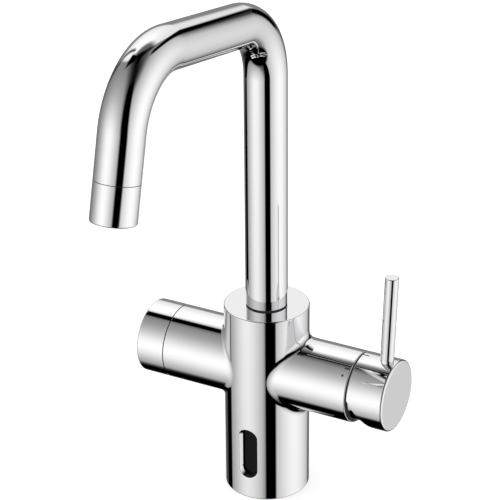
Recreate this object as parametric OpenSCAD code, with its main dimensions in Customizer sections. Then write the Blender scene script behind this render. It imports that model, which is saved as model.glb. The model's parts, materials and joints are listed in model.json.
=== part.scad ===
// Electronic kitchen faucet: sensor body, swivel spout, side lever and temperature knob.
// Millimetres, +Z up, the spout and sensor window face -Y, the lever arm points to +X.
// The origin is the centre of the face that stands on the deck.

/* [Body] */
// Diameter of the upright body
body_d = 57; // [56:0.5:62]
// Height of the body above the deck
body_h = 136; // [132:1:150]
// Wall around the lower cavity
body_wall = 4; // [3.6:0.2:4.4]
// Rounding of the top edge
body_edge = 0.9; // [0.4:0.1:2]
// Height of the arms' common axis
arm_z = 90.5; // [88:0.5:94]
// Metal between the arms and the lower cavity
roof_t = 5.25; // [4:0.25:7]

/* [Left arm] */
// Diameter of the left arm and its knob
left_arm_d = 50.5; // [48:0.5:53]
// Distance from the body axis to the end of the left arm
left_reach = 66.3; // [64:0.1:80]
// Length of the temperature knob
knob_len = 20.3; // [18:0.1:26]
// Running gap between arm and knob
knob_gap = 0.45; // [0.3:0.05:1]
// Wall of the knob
knob_wall = 3; // [2:0.1:4]
// Rounding of the knob's outer edge
knob_edge = 1.2; // [0.4:0.1:2.5]
// Angle that the knob turns each way
knob_swing = 60; // [20:5:75]

/* [Right arm] */
// Diameter of the right arm and the lever hub
right_arm_d = 48.5; // [48:0.25:51]
// Distance from the body axis to the end of the right arm
right_reach = 69.4; // [66:0.1:80]
// Rounding of both arms' end edges
arm_edge = 0.4; // [0.2:0.1:0.8]

/* [Lever] */
// Gap between the right arm and the hub
hub_gap = 1.2; // [0.8:0.1:2]
// Thickness of the hub's end beyond its round hollow
hub_end_wall = 3.5; // [3:0.1:10]
// Rounding of the hub's end edge
hub_edge = 0.9; // [0.4:0.1:2]
// Slope of the relief cut under the hub, from upright
cut_angle = 33; // [30:1:38]
// Start of the relief cut, outward from the tilt axis
cut_start = 2.2; // [1.5:0.1:3]
// Wall of the dome that the hub rocks over
dome_wall = 1.4; // [1:0.1:1.6]
// Gap between the dome and the hollow of the hub
dome_gap = 0.5; // [0.4:0.05:0.8]
// Diameter of the lever rod
rod_d = 9; // [6:0.5:10]
// Length of the rod above the hub
rod_len = 61.3; // [40:1:120]
// Lean of the rod away from the body
rod_lean = 2; // [0:0.5:4]
// Distance from the hub's end to the foot of the rod
rod_inset = 7.7; // [6:0.1:9]
// Rounding of the rod's top edge
rod_edge = 0.5; // [0.2:0.1:1.5]

/* [Spout] */
// Outer diameter of the spout tube
tube_d = 28; // [26:0.5:30]
// Wall of the spout tube
tube_wall = 2; // [1.5:0.1:2.2]
// Straight rise from the body to the rear bend
rise_len = 161; // [120:1:260]
// Radius of the bends at the centre line
bend_r = 45; // [36:1:60]
// Angle of the rear bend
rear_bend = 80; // [70:1:90]
// Length of the upper run
run_len = 84; // [40:1:140]
// Angle of the front bend
front_bend = 86; // [70:1:95]
// Straight drop of the tube below the front bend
drop_len = 27.8; // [16:0.1:60]
// Length of the aerator sleeve
sleeve_len = 24; // [23.2:0.2:40]
// Seam between the tube and the aerator sleeve
sleeve_seam = 0.4; // [0.2:0.1:0.8]
// Rounding of the outlet's edge
sleeve_edge = 1.2; // [0.4:0.1:1.6]
// Angle that the spout swings each way
swivel_range = 60; // [20:5:75]
// Thickness of the slide ring under the spout
slide_ring_t = 0.9; // [0.6:0.1:1.6]

/* [Sensor] */
// Width of the sensor window
window_w = 12; // [10:0.5:13]
// Height of the sensor window
window_h = 36; // [28:0.5:37]
// Height of the window's centre
window_z = 34; // [34:0.5:36]
// Depth of the lens behind the front of the body
window_depth = 4.9; // [4.8:0.1:5.4]

/* [Base] */
// Thickness of the base plate
plate_t = 14; // [12:0.5:14]
// Distance between the two water inlets
inlet_pitch = 22; // [20:0.5:24]
// Tapping diameter of the inlet threads
inlet_d = 9; // [8:0.1:9.4]
// Depth of the inlet threads
inlet_depth = 9; // [7:0.5:9.5]
// Distance between the two stud holes
stud_pitch = 16; // [14:0.5:18]
// Distance of the stud holes behind the axis
stud_back = 11; // [10:0.5:12]
// Tapping diameter of the stud holes
stud_d = 5; // [4.2:0.1:5.2]
// Depth of the stud holes
stud_depth = 12; // [8:0.5:13]
// Diameter of the cable hole in the gland
cable_d = 4.5; // [3:0.1:5.5]
// Distance of the cable gland in front of the axis
gland_front = 11; // [10.5:0.5:12]

/* [Cartridge] */
// Distance from the tilt axis to the ball of the stem
ball_arm = 12; // [11:0.25:12.5]
// Diameter of the ball
ball_d = 6; // [5:0.25:6.5]
// Angle that the lever tilts outward to open
tilt_range = 25; // [10:1:26]
// Angle that the lever turns each way for temperature
turn_range = 45; // [20:5:60]
// Side of the stem's square end
stem_square = 7; // [5:0.25:7.5]
// Thickness of the cartridge's bottom plate
port_plate_t = 5; // [4:0.25:6]
// Thickness of the fixed ceramic disc
fixed_disc_t = 3.5; // [2.5:0.25:4.5]
// Thickness of the moving ceramic disc
moving_disc_t = 4; // [3:0.25:5]

/* [Solenoid] */
// Distance of the solenoid behind the axis
valve_back = 13.5; // [12.5:0.25:14]
// Travel of the plunger
plunger_travel = 2; // [1:0.25:3]
// Length of the plunger
plunger_len = 14; // [11:0.5:15]
// Length of the plunger's spring at rest
spring_len = 10.4; // [8:0.2:11]
// Turns of the plunger's spring
spring_turns = 7; // [5:1:9]
// Wire diameter of the plunger's spring
spring_wire = 0.6; // [0.4:0.05:0.7]

/* [Clearances] */
// Radial clearance of a turning or sliding fit
run_gap = 0.05; // [0.02:0.01:0.09]
// Radial clearance of a seated fit
seat_gap = 0.03; // [0.02:0.01:0.05]
// Clearance of a loose fit
free_gap = 0.3; // [0.2:0.05:0.4]

/* [Hidden] */
$fn = 96;
chrome = "silver";
brass = "goldenrod";
steel = "darkgray";
rubber = "dimgray";
over = 1;

// Body and base
body_r = body_d / 2;
cavity_r = body_r - body_wall;
left_r = left_arm_d / 2;
right_r = right_arm_d / 2;
cavity_top = arm_z - left_r - roof_t;
socket_depth = 32;
socket_floor = body_h - socket_depth;
plate_r = cavity_r - seat_gap;
gasket_w = 1.8;
gasket_t = 1.5;
gasket_r = cavity_r + body_wall / 2;
base_edge = 0.5;
base_screw_z = 7;
grub_r = 2.5;
grub_tip_r = 1.7;
grub_bite = 3;
tube_socket = 3;
inlet_x = inlet_pitch / 2;
inlet_tube_r = 4;
inlet_tube_bore = 3;
strainer_t = plate_t - tube_socket - inlet_depth;
roof_socket = 6;
valve_len = 9;
gland_r = 4;
gland_inset = 0.5;

// Water ways in the casting
gallery_r = 3;
gallery_y = 7;
gallery_z = arm_z - 6;
outlet_z = arm_z + 8;
outlet_r = 3.5;
chamber_r = 5;
feed_r = 2;
feed_x = 6.5;

// Sensor
lens_y = -(body_r - window_depth);
seat_y = lens_y + 0.7;
lens_nose = 1.5;
flange_y = lens_y + lens_nose;
flange_t = 1.2;
flange_w = window_w + 6;
gasket_seat_w = min(flange_w - 0.4, 2 * sqrt(pow(cavity_r, 2) - pow(seat_y, 2)) - 0.2);
flange_h = window_h + 2.8;
housing_front = flange_y + flange_t;
housing_back = -8;
housing_w = 24;
housing_h = window_h + 3;
housing_wall = 1.2;
board_t = 1.6;
board_y = -16.2;
diode_r = 2.5;
diode_drop = 9;
bracket_t = 1.2;
bracket_w = 16;
foot_w = 12;
foot_end = 1;
sensor_screw_y = -3;
m3_r = 1.5;
m3_head_r = 2.75;
m3_head_t = 2;

// Solenoid valve, hanging from the roof of the cavity
pocket_r = 10.2;
pocket_depth = 12;
valve_seat_t = 6;
diaphragm_t = 1.4;
valve_thread = pocket_depth - valve_seat_t - diaphragm_t;
hex_t = 4;
hex_r = 11;
guide_r = 4;
plunger_r = 3;
guide_top = cavity_top + valve_thread;
plunger_top = guide_top - 0.1;
spring_top = plunger_top - plunger_len;
spring_z = spring_top - spring_len;
guide_end = spring_z - 2;
coil_r = 9.3;
spring_r = plunger_r - 0.5;

// Spout
tube_r = tube_d / 2;
bore_r = tube_r - tube_wall;
bend_thin = 0.05;
bend_lap = 0.4;
tube_foot = body_h + slide_ring_t + 0.1;
spigot_r = 11 - run_gap;
socket_r = 11;
bearing_r = 12.6;
bearing_len = 14;
spigot_foot = socket_floor + 1;
spigot_insert = 13;
spigot_bore = 7;
ring_r = 0.95;
ring_zs = [socket_floor + 3, socket_floor + 7];
stop_z = socket_floor + 13;
stop_depth = 2;
stop_half_h = grub_tip_r + free_gap;
stop_half_angle = swivel_range + 12;
bush_insert = 8;
bush_thread = 6;
bush_thread_r = bore_r + 0.5;
bush_bore = 9.5;
insert_r = 11.8;
insert_len = 12;
lip_r = 10.8;
lip_t = 2;
grid_t = 2;
grid_pitch = 2.6;
grid_hole = 1.25;
grid_rings = 3;
washer_t = 1.5;

// Right arm, outward along X from the tilt axis
pivot_x = right_reach + hub_gap / 2;
hub_x = right_reach + hub_gap;
dome_r = right_r - 2.25;
hollow_r = dome_r + dome_gap;
hub_len = hollow_r + hub_end_wall - hub_gap / 2;
hub_end = hub_x + hub_len;
dome_rim = 14;
dome_foot = -3;
carrier_top = -(ball_arm - 1.5);
carrier_t = 5;
moving_bottom = carrier_top - carrier_t - moving_disc_t;
fixed_bottom = moving_bottom - run_gap - fixed_disc_t;
cart_floor = fixed_bottom - port_plate_t;
cart_r = 18;
cavity_in_r = 15;
flange_gap = 0.1;
rotor_flange_bottom = carrier_top + free_gap;
rotor_flange_t = 1.8;
shoulder_x = rotor_flange_bottom + rotor_flange_t + flange_gap;
shoulder_t = 1.5;
neck_r = 12;
neck_wall = 2;
neck_top = -1;
nut_bottom = shoulder_x + shoulder_t;
nut_lip = 2;
nut_r = cart_r + nut_lip;
nut_thread_t = 3.7;
nut_rim_r = cart_r;
nut_rim_t = 1.6;
rotor_r = neck_r - run_gap;
rotor_top = 4.5;
rail_y = 8.8;
rail_t = 2.7;
rail_half = 8.5;
rail_foot = carrier_top - carrier_t + 1;
slot_half_y = 4.3;
slot_half_z = 8.8;
disc_r = 8.5;
fixed_r = 13;
port_r = 3;
stroke = ball_arm * tilt_range * PI / 180;
rest_shift = -stroke / 2;
pin_r = 1.5;
pin_half = 11;
stem_r = 4;
shank_r = 2;
boss_r = 6.8;
boss_x = 10.5;
stem_end = hub_end - pivot_x - 2.5;
screw_x = hub_end - 5;
m4_r = 2;
m4_len = 4;
rod_x = hub_end - rod_inset;
rod_seat = 3;
rod_stud_r = 3;
rod_stud_len = 6;

// Left arm, outward along -X from the body axis
mixer_r = 17;
mixer_depth = 32.3;
mixer_floor = left_reach - mixer_depth;
mixer_base_t = 4;
mixer_fixed_t = 3.5;
mixer_turning_t = 3.5;
mixer_disc_r = 12.9;
mixer_turning_r = 11.2;
mixer_wall_r = 13;
mixer_lid = left_reach - 10.3;
mixer_lid_t = 4;
mixer_neck_r = 10;
mixer_neck_end = left_reach + 1.7;
spindle_r = 5.5;
spindle_flange_r = 12.4;
spindle_flange_t = 5;
spindle_square = 7;
nut_t = 5;
knob_x = left_reach + knob_gap;
knob_end = knob_x + knob_len;
knob_top_t = 4;
knob_boss_r = 9;
knob_boss_x = knob_x + 5.3;
stop_x = left_reach - 1.3;
stop_len = 4;
stop_ring_r = 13;
stop_lug_r = 16;
lug_half = (180 - knob_swing) / 2 - 1;
knob_lug_r = 13.5;
spindle_end = knob_end - knob_top_t - 0.8;

// Round bar along +Z with a rounded top edge
module bar(r, len, edge) {
    rotate_extrude() union() {
        square([r - edge, len]);
        square([r, len - edge]);
        translate([r - edge, len - edge]) intersection() {
            circle(edge);
            square([edge, edge]);
        }
    }
}

// Plain ring along +Z from z0 to z1
module ring(r_out, r_in, z0, z1) {
    difference() {
        translate([0, 0, z0]) cylinder(r = r_out, h = z1 - z0);
        translate([0, 0, z0 - over]) cylinder(r = r_in, h = z1 - z0 + 2 * over);
    }
}

// Plain rod along +Z from z0 to z1
module rod(r, z0, z1) {
    translate([0, 0, z0]) cylinder(r = r, h = z1 - z0);
}

// Places children that point along +Z on the arms' axis, pointing to +X
module on_right(x = 0) {
    translate([x, 0, arm_z]) rotate([0, 90, 0]) children();
}

// Places children that point along +Z on the arms' axis, pointing to -X
module on_left(x = 0) {
    translate([-x, 0, arm_z]) rotate([0, -90, 0]) children();
}

// Round hole or rod along X from x0 to x1 at a given y and z
module x_rod(r, x0, x1, y, z) {
    translate([x0, y, z]) rotate([0, 90, 0]) cylinder(r = r, h = x1 - x0);
}

// Round hole or rod along Y from y0 to y1 at a given x and z
module y_rod(r, y0, y1, x, z) {
    translate([x, y0, z]) rotate([-90, 0, 0]) cylinder(r = r, h = y1 - y0);
}

// Upright slot with round ends, extruded along Y from y0 to y1
module slot_block(w, h, y0, y1, z) {
    translate([0, y0, z]) rotate([-90, 0, 0]) linear_extrude(y1 - y0) union() {
        square([w, h - w], center = true);
        for (s = [-1, 1]) translate([0, s * (h - w) / 2]) circle(d = w);
    }
}

// Places children at the hot water inlet
module at_hot() {
    translate([-inlet_x, 0, 0]) children();
}

// Places children at the cold water inlet
module at_cold() {
    translate([inlet_x, 0, 0]) children();
}

// Places children at both water inlets
module at_inlets() {
    at_hot() children();
    at_cold() children();
}

// Drilled passages that carry hot, cold and mixed water through the casting
module water_ways() {
    left_port = -mixer_floor - over;
    right_port = pivot_x + cart_floor + over;
    for (s = [-1, 1]) {
        translate([s * inlet_x, 0, 0]) rod(gallery_r, cavity_top, gallery_z + gallery_r);
        x_rod(gallery_r, left_port, right_port, -s * gallery_y, gallery_z);
        y_rod(gallery_r, min(0, -s * gallery_y), max(0, -s * gallery_y), s * inlet_x, gallery_z);
    }
    x_rod(outlet_r, 0, right_port, 0, outlet_z);
    rod(chamber_r, outlet_z - chamber_r, socket_floor + over);
    x_rod(feed_r, left_port, -feed_x, valve_back, outlet_z);
    translate([-feed_x, valve_back, 0]) rod(feed_r, cavity_top, outlet_z);
    translate([0, valve_back, 0]) rod(feed_r, cavity_top, outlet_z);
    y_rod(feed_r, 0, valve_back, 0, outlet_z);
}

// Stepped bore of the right arm for the cartridge, its nut and the dome
module right_bore() {
    on_right(pivot_x) {
        rod(cart_r + seat_gap, cart_floor, nut_bottom);
        rod(nut_r, shoulder_x, dome_foot);
        rod(dome_r + seat_gap, dome_foot, over);
    }
}

module body_casting() {
    color(chrome) difference() {
        union() {
            difference() {
                union() {
                    bar(body_r, body_h, body_edge);
                    on_left() bar(left_r, left_reach, arm_edge);
                    on_right() bar(right_r, right_reach, arm_edge);
                }
                rod(cavity_r, -over, cavity_top);
            }
            difference() {
                translate([-10.5, -cavity_r - 1.5, window_z - housing_h / 2])
                    cube([21, cavity_r + 1.5 + seat_y, housing_h]);
                rod(plate_r, -over, plate_t);
            }
        }
        slot_block(window_w, window_h, -body_r - over, seat_y + over, window_z);
        ring(gasket_r + gasket_w / 2, gasket_r - gasket_w / 2, -over, gasket_t);
        at_inlets() rod(inlet_tube_r + seat_gap, cavity_top - over, cavity_top + roof_socket);
        translate([0, valve_back, 0]) rod(pocket_r, cavity_top - over, cavity_top + pocket_depth);
        translate([0, sensor_screw_y, 0]) rod(m3_r + seat_gap, cavity_top - over, cavity_top + 6);
        rod(socket_r, socket_floor, body_h + over);
        rod(bearing_r, body_h - bearing_len, body_h + over);
        y_rod(grub_r + seat_gap, cavity_r - over, body_r + over, 0, base_screw_z);
        y_rod(grub_r + seat_gap, socket_r + 0.5, body_r + over, 0, stop_z);
        y_rod(grub_tip_r + free_gap, socket_r - over, socket_r + over, 0, stop_z);
        water_ways();
        right_bore();
        on_left() rod(mixer_r, mixer_floor, left_reach + over);
    }
}

module base_plate() {
    color(brass) difference() {
        rod(plate_r, 0, plate_t);
        at_inlets() {
            rod(inlet_d / 2, -over, inlet_depth);
            rod(inlet_tube_bore + 0.2, 0, plate_t + over);
            rod(inlet_tube_r + seat_gap, plate_t - tube_socket, plate_t + over);
        }
        for (s = [-1, 1]) translate([s * stud_pitch / 2, stud_back, 0]) rod(stud_d / 2, -over, stud_depth);
        translate([0, -gland_front, 0]) rod(gland_r, -over, plate_t + over);
        y_rod(grub_r + seat_gap, plate_r - grub_bite, plate_r + over, 0, base_screw_z);
    }
}

module base_gasket() {
    color(rubber) ring(gasket_r + gasket_w / 2 - seat_gap, gasket_r - gasket_w / 2 + seat_gap,
        0, gasket_t - seat_gap);
}

// Headless screw along Y, its hexagon socket towards +Y
module grub_screw(r, y0, y1, z) {
    difference() {
        y_rod(r, y0, y1, 0, z);
        translate([0, y1 - 2.2, z]) rotate([-90, 0, 0]) cylinder(r = r * 0.55, h = 2.2 + over, $fn = 6);
    }
}

module base_grub_screw() {
    color(steel) grub_screw(grub_r, plate_r - grub_bite + seat_gap, body_r - 1, base_screw_z);
}

module inlet_tube() {
    color(brass) ring(inlet_tube_r, inlet_tube_bore, plate_t - tube_socket + 0.05,
        cavity_top + roof_socket - 0.1);
}

module strainer() {
    color(steel) difference() {
        rod(inlet_tube_bore + 0.2 - seat_gap, inlet_depth + 0.05, inlet_depth + strainer_t);
        for (a = [0:60:300]) rotate(a) translate([1.9, 0, 0]) cylinder(r = 0.6, h = plate_t, $fn = 6);
        cylinder(r = 0.6, h = plate_t, $fn = 6);
    }
}

module check_valve() {
    color("white") translate([0, 0, plate_t + 8]) difference() {
        rod(inlet_tube_bore - seat_gap, 0, valve_len);
        rod(1.6, -over, valve_len - 3);
        for (a = [0:90:270]) rotate(a) translate([1.9, 0, 0]) rod(0.5, valve_len - 4, valve_len + over);
    }
}

module hot_inlet_tube() {
    at_hot() inlet_tube();
}

module cold_inlet_tube() {
    at_cold() inlet_tube();
}

module hot_strainer() {
    at_hot() strainer();
}

module cold_strainer() {
    at_cold() strainer();
}

module hot_check_valve() {
    at_hot() check_valve();
}

module cold_check_valve() {
    at_cold() check_valve();
}

module cable_gland() {
    color(rubber) translate([0, -gland_front, 0])
        ring(gland_r - seat_gap, cable_d / 2, gland_inset, plate_t - gland_inset);
}

module sensor_lens() {
    color([0.05, 0.05, 0.06]) union() {
        slot_block(window_w - 0.2, window_h - 0.2, lens_y, flange_y, window_z);
        slot_block(flange_w, flange_h, flange_y, housing_front, window_z);
    }
}

module sensor_gasket() {
    color(rubber) difference() {
        slot_block(gasket_seat_w, flange_h - 0.4, seat_y, flange_y, window_z);
        slot_block(window_w, window_h, seat_y - over, flange_y + over, window_z);
    }
}

module sensor_housing() {
    color([0.16, 0.16, 0.17]) difference() {
        translate([-housing_w / 2, housing_front, window_z - housing_h / 2])
            cube([housing_w, housing_back - housing_front, housing_h]);
        translate([-housing_w / 2 + housing_wall, housing_front - over, window_z - housing_h / 2 + housing_wall])
            cube([housing_w - 2 * housing_wall, housing_back - housing_front - housing_wall + over,
                housing_h - 2 * housing_wall]);
        translate([0, -gland_front, window_z - housing_h / 2 - over]) cylinder(d = cable_d, h = 3);
    }
}

module sensor_board() {
    color("darkgreen") translate([-housing_w / 2 + housing_wall + 0.1, board_y,
        window_z - housing_h / 2 + housing_wall + 0.1])
        cube([housing_w - 2 * housing_wall - 0.2, board_t, housing_h - 2 * housing_wall - 0.2]);
}

// Diode with a round lens, soldered to the front of the board at height z
module diode(z) {
    translate([0, board_y, z]) rotate([90, 0, 0]) union() {
        cylinder(r = diode_r, h = 2.5);
        cylinder(r = diode_r + 0.4, h = 0.8);
        translate([0, 0, 2.5]) intersection() {
            sphere(r = diode_r - 0.5);
            cylinder(r = diode_r, h = diode_r);
        }
    }
}

module infrared_emitter() {
    color("slateblue") diode(window_z + diode_drop);
}

module infrared_receiver() {
    color("black") diode(window_z - diode_drop);
}

module sensor_bracket() {
    foot_z = cavity_top - bracket_t;
    color(steel) difference() {
        union() {
            translate([-bracket_w / 2, housing_back, plate_t + 6])
                cube([bracket_w, bracket_t, cavity_top - plate_t - 6]);
            translate([-foot_w / 2, housing_back, foot_z]) cube([foot_w, foot_end - housing_back, bracket_t]);
        }
        translate([0, sensor_screw_y, foot_z - over]) cylinder(r = m3_r + 0.2, h = bracket_t + 2 * over);
    }
}

module sensor_screw() {
    head_z = cavity_top - bracket_t - m3_head_t;
    color(steel) translate([0, sensor_screw_y, 0]) difference() {
        union() {
            rod(m3_head_r, head_z, head_z + m3_head_t);
            rod(m3_r, head_z, cavity_top + 5);
        }
        translate([0, 0, head_z - over]) cylinder(r = 1.2, h = 1.2 + over, $fn = 6);
    }
}

// Places children on the solenoid's axis
module on_valve() {
    translate([0, valve_back, 0]) children();
}

module valve_seat() {
    top = cavity_top + pocket_depth;
    color("ivory") on_valve() difference() {
        rod(pocket_r - seat_gap, top - valve_seat_t, top);
        rod(feed_r, top - valve_seat_t - over, top + over);
        translate([-feed_x, 0, 0]) rod(feed_r, top - valve_seat_t - over, top + over);
        ring(8.6, 3.4, top - valve_seat_t - over, top - valve_seat_t + 2);
    }
}

module valve_diaphragm() {
    bottom = guide_top;
    color(rubber) on_valve() difference() {
        rod(pocket_r - seat_gap, bottom, bottom + diaphragm_t);
        rod(0.8, bottom - over, bottom + diaphragm_t + over);
        translate([-feed_x, 0, 0]) rod(0.5, bottom - over, bottom + diaphragm_t + over);
    }
}

module valve_guide() {
    color("ivory") on_valve() difference() {
        union() {
            rod(pocket_r - seat_gap, cavity_top - 0.1, guide_top);
            translate([0, 0, cavity_top - hex_t]) cylinder(r = hex_r, h = hex_t - 0.05, $fn = 6);
            rod(guide_r, guide_end, cavity_top);
        }
        rod(plunger_r + run_gap, spring_z, guide_top + over);
    }
}

module valve_coil() {
    coil_bottom = guide_end + 1;
    coil_top = cavity_top - hex_t - 0.2;
    bobbin = coil_r;
    color("peru") on_valve() union() {
        ring(bobbin, guide_r + seat_gap, coil_bottom, coil_bottom + 1.2);
        ring(bobbin - 0.8, guide_r + seat_gap, coil_bottom + 1.2, coil_top - 1.2);
        ring(bobbin, guide_r + seat_gap, coil_top - 1.2, coil_top);
    }
}

module valve_plunger() {
    color(steel) on_valve() difference() {
        rod(plunger_r, spring_top, plunger_top);
        for (s = [-1, 1]) translate([s * plunger_r - 0.3, -0.3, spring_top - over])
            cube([0.6, 0.6, plunger_len - 2]);
    }
}

// Point of the spring's wire centre at angle a
function coil_point(a, r, len) = [r * cos(a), r * sin(a), len * a / (360 * spring_turns)];

// Ring of the wire's section at angle a
function wire_ring(a, r, len, w, sides) = [for (k = [0:sides - 1])
    let (t = 360 * k / sides, p = coil_point(a, r, len))
    [p[0] + w * cos(t) * cos(a), p[1] + w * cos(t) * sin(a), p[2] + w * sin(t)]];

module plunger_spring() {
    sides = 6;
    steps = 14 * spring_turns;
    wire = spring_wire / 2;
    len = spring_len - spring_wire - 0.1;
    mean_r = spring_r - wire;
    points = [for (i = [0:steps]) each wire_ring(360 * spring_turns * i / steps, mean_r, len, wire, sides)];
    sidewalls = [for (i = [0:steps - 1], k = [0:sides - 1])
        let (a = i * sides + k, b = i * sides + (k + 1) % sides)
        each [[a, a + sides, b], [b, a + sides, b + sides]]];
    start_cap = [for (k = [1:sides - 2]) [0, k, k + 1]];
    end_cap = [for (k = [1:sides - 2]) [steps * sides, steps * sides + k + 1, steps * sides + k]];
    color(steel) on_valve() translate([0, 0, spring_z + wire + 0.05])
        polyhedron(points, concat(sidewalls, start_cap, end_cap));
}

module spout_bearing() {
    color([0.12, 0.12, 0.12]) union() {
        ring(bearing_r - seat_gap, socket_r, body_h - bearing_len, body_h + slide_ring_t / 2);
        ring(tube_r - 0.4, socket_r, body_h, body_h + slide_ring_t);
    }
}

module spout_stop_screw() {
    tip_y = spigot_r - stop_depth + 0.2;
    color(steel) union() {
        grub_screw(grub_r, socket_r + 0.8, body_r - 1.2, stop_z);
        y_rod(grub_tip_r, tip_y, socket_r + 1, 0, stop_z);
    }
}

module spout_spigot() {
    color(brass) difference() {
        union() {
            rod(spigot_r, spigot_foot, tube_foot);
            rod(bore_r - seat_gap, tube_foot, tube_foot + spigot_insert);
        }
        rod(spigot_bore, spigot_foot - over, tube_foot + spigot_insert + over);
        for (z = ring_zs) ring(spigot_r + over, spigot_r - 2 * ring_r, z - 1.1, z + 1.1);
        translate([0, 0, stop_z - stop_half_h]) rotate(90 - stop_half_angle)
            rotate_extrude(angle = 2 * stop_half_angle) translate([spigot_r - stop_depth, 0])
                square([stop_depth + over, 2 * stop_half_h]);
    }
}

module spout_o_rings() {
    color(rubber) for (z = ring_zs) translate([0, 0, z])
        rotate_extrude() translate([spigot_r - ring_r, 0]) circle(ring_r, $fn = 24);
}

// Hollow straight stretch of the spout
module pipe(len) {
    ring(tube_r, bore_r, 0, len);
}

// Hollow bend of the spout, from +Z towards -Y, with ends that reach a hair into the straights
module bend(angle) {
    translate([0, -bend_r, 0]) rotate([90, 0, 90]) rotate(-bend_lap)
        rotate_extrude(angle = angle + 2 * bend_lap) translate([bend_r, 0]) difference() {
            circle(tube_r - bend_thin);
            circle(bore_r + bend_thin);
        }
}

// Moves children past a straight stretch
module after_run(len) {
    translate([0, 0, len]) children();
}

// Moves children past a bend
module after_bend(angle) {
    translate([0, -bend_r * (1 - cos(angle)), bend_r * sin(angle)]) rotate([angle, 0, 0]) children();
}

// Places children at the lower end of the tube, pointing out of the spout
module at_outlet() {
    translate([0, 0, tube_foot]) after_run(rise_len) after_bend(rear_bend) after_run(run_len)
        after_bend(front_bend) after_run(drop_len) children();
}

module spout_tube() {
    color(chrome) translate([0, 0, tube_foot]) union() {
        pipe(rise_len);
        after_run(rise_len) bend(rear_bend);
        after_run(rise_len) after_bend(rear_bend) pipe(run_len);
        after_run(rise_len) after_bend(rear_bend) after_run(run_len) bend(front_bend);
        after_run(rise_len) after_bend(rear_bend) after_run(run_len) after_bend(front_bend)
            pipe(drop_len);
    }
}

module outlet_bush() {
    color(brass) at_outlet() difference() {
        union() {
            rod(bore_r - seat_gap, -bush_insert, 0.05);
            rod(bush_thread_r - 0.2, 0.05, bush_thread);
        }
        rod(bush_bore, -bush_insert - over, bush_thread + over);
    }
}

module aerator_sleeve() {
    bush_end = bush_thread + washer_t;
    color(chrome) at_outlet() translate([0, 0, sleeve_seam]) difference() {
        bar(tube_r, sleeve_len, sleeve_edge);
        rod(bush_thread_r, -over, bush_end);
        rod(insert_r + seat_gap, 0, sleeve_len - lip_t);
        rod(lip_r, 0, sleeve_len + over);
    }
}

module aerator_gasket() {
    color(rubber) at_outlet() ring(insert_r - 0.1, bush_bore, bush_thread + 0.02, bush_thread + washer_t);
}

insert_z = sleeve_seam + sleeve_len - lip_t - grid_t - insert_len;

module flow_regulator() {
    color("white") at_outlet() difference() {
        rod(8.6, insert_z + 1, insert_z + 4);
        for (a = [0:45:315]) rotate(a) translate([5.5, 0, 0]) rod(0.9, insert_z, insert_z + 5);
    }
}

module aerator_insert() {
    color([0.2, 0.2, 0.22]) at_outlet() difference() {
        rod(insert_r, insert_z, insert_z + insert_len);
        rod(8.6 + seat_gap, insert_z - over, insert_z + 4.02);
        rod(7.4, insert_z + 4, insert_z + 6);
        rod(9.6, insert_z + 6, insert_z + insert_len + over);
    }
}

// Honeycomb grid at the mouth of the aerator
module aerator_grid() {
    z0 = insert_z + insert_len;
    color("gainsboro") at_outlet() difference() {
        rod(insert_r, z0 + 0.02, z0 + grid_t);
        for (i = [-grid_rings:grid_rings], j = [-grid_rings:grid_rings])
            if (abs(i + j) <= grid_rings)
                translate([grid_pitch * (i + j / 2), grid_pitch * j * sqrt(3) / 2, z0 - over])
                    cylinder(r = grid_hole, h = grid_t + 2 * over, $fn = 6);
    }
}

// Holes for hot, cold and mixed water in the right cartridge
module cartridge_ports(r, x0, x1) {
    for (s = [-1, 1]) translate([arm_z - gallery_z, s * gallery_y, 0]) rod(r, x0, x1);
    translate([arm_z - outlet_z, 0, 0]) rod(r, x0, x1);
}

module port_plate() {
    color("ivory") on_right(pivot_x) difference() {
        rod(cart_r, cart_floor + 0.02, fixed_bottom);
        cartridge_ports(port_r, cart_floor - over, fixed_bottom + over);
        cartridge_ports(port_r + 1.4, cart_floor - over, cart_floor + 1.6);
    }
}

module port_seals() {
    color(rubber) on_right(pivot_x) difference() {
        cartridge_ports(port_r + 1.3, cart_floor + 0.05, cart_floor + 1.5);
        cartridge_ports(port_r, cart_floor - over, cart_floor + 2);
    }
}

module fixed_disc() {
    color("white") on_right(pivot_x) difference() {
        rod(fixed_r, fixed_bottom, moving_bottom - run_gap);
        cartridge_ports(port_r - 0.5, fixed_bottom - over, moving_bottom + over);
    }
}

// The moving disc and its carrier rest shifted down, with the ports closed
module moving_disc() {
    color("whitesmoke") on_right(pivot_x) translate([-rest_shift, 0, 0]) difference() {
        rod(disc_r, moving_bottom, moving_bottom + moving_disc_t);
        rod(disc_r - 3, moving_bottom - over, moving_bottom + 2);
    }
}

module disc_carrier() {
    bottom = moving_bottom + moving_disc_t;
    color("lightgray") on_right(pivot_x) difference() {
        translate([-disc_r - rest_shift, -disc_r, bottom]) cube([2 * disc_r, 2 * disc_r, carrier_t]);
        rod(ball_d / 2 + 0.35, bottom + 0.4, carrier_top + over);
    }
}

module cartridge_housing() {
    color("ivory") on_right(pivot_x) difference() {
        union() {
            rod(cart_r, fixed_bottom, nut_bottom);
            rod(neck_r + neck_wall, nut_bottom, neck_top);
        }
        rod(fixed_r + seat_gap, fixed_bottom - over, moving_bottom - run_gap);
        rod(cavity_in_r, moving_bottom - run_gap, shoulder_x);
        rod(neck_r, shoulder_x - over, neck_top + over);
    }
}

module cartridge_nut() {
    color(brass) on_right(pivot_x) difference() {
        union() {
            rod(nut_r - seat_gap, nut_bottom, nut_bottom + nut_thread_t);
            rod(nut_rim_r, nut_bottom, nut_bottom + nut_thread_t + nut_rim_t);
        }
        rod(neck_r + neck_wall + 0.2, nut_bottom - over, over);
        for (a = [0:60:300]) rotate(a) translate([nut_rim_r - 2, -2, nut_bottom + nut_thread_t])
            cube([3, 4, 3]);
    }
}

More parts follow.
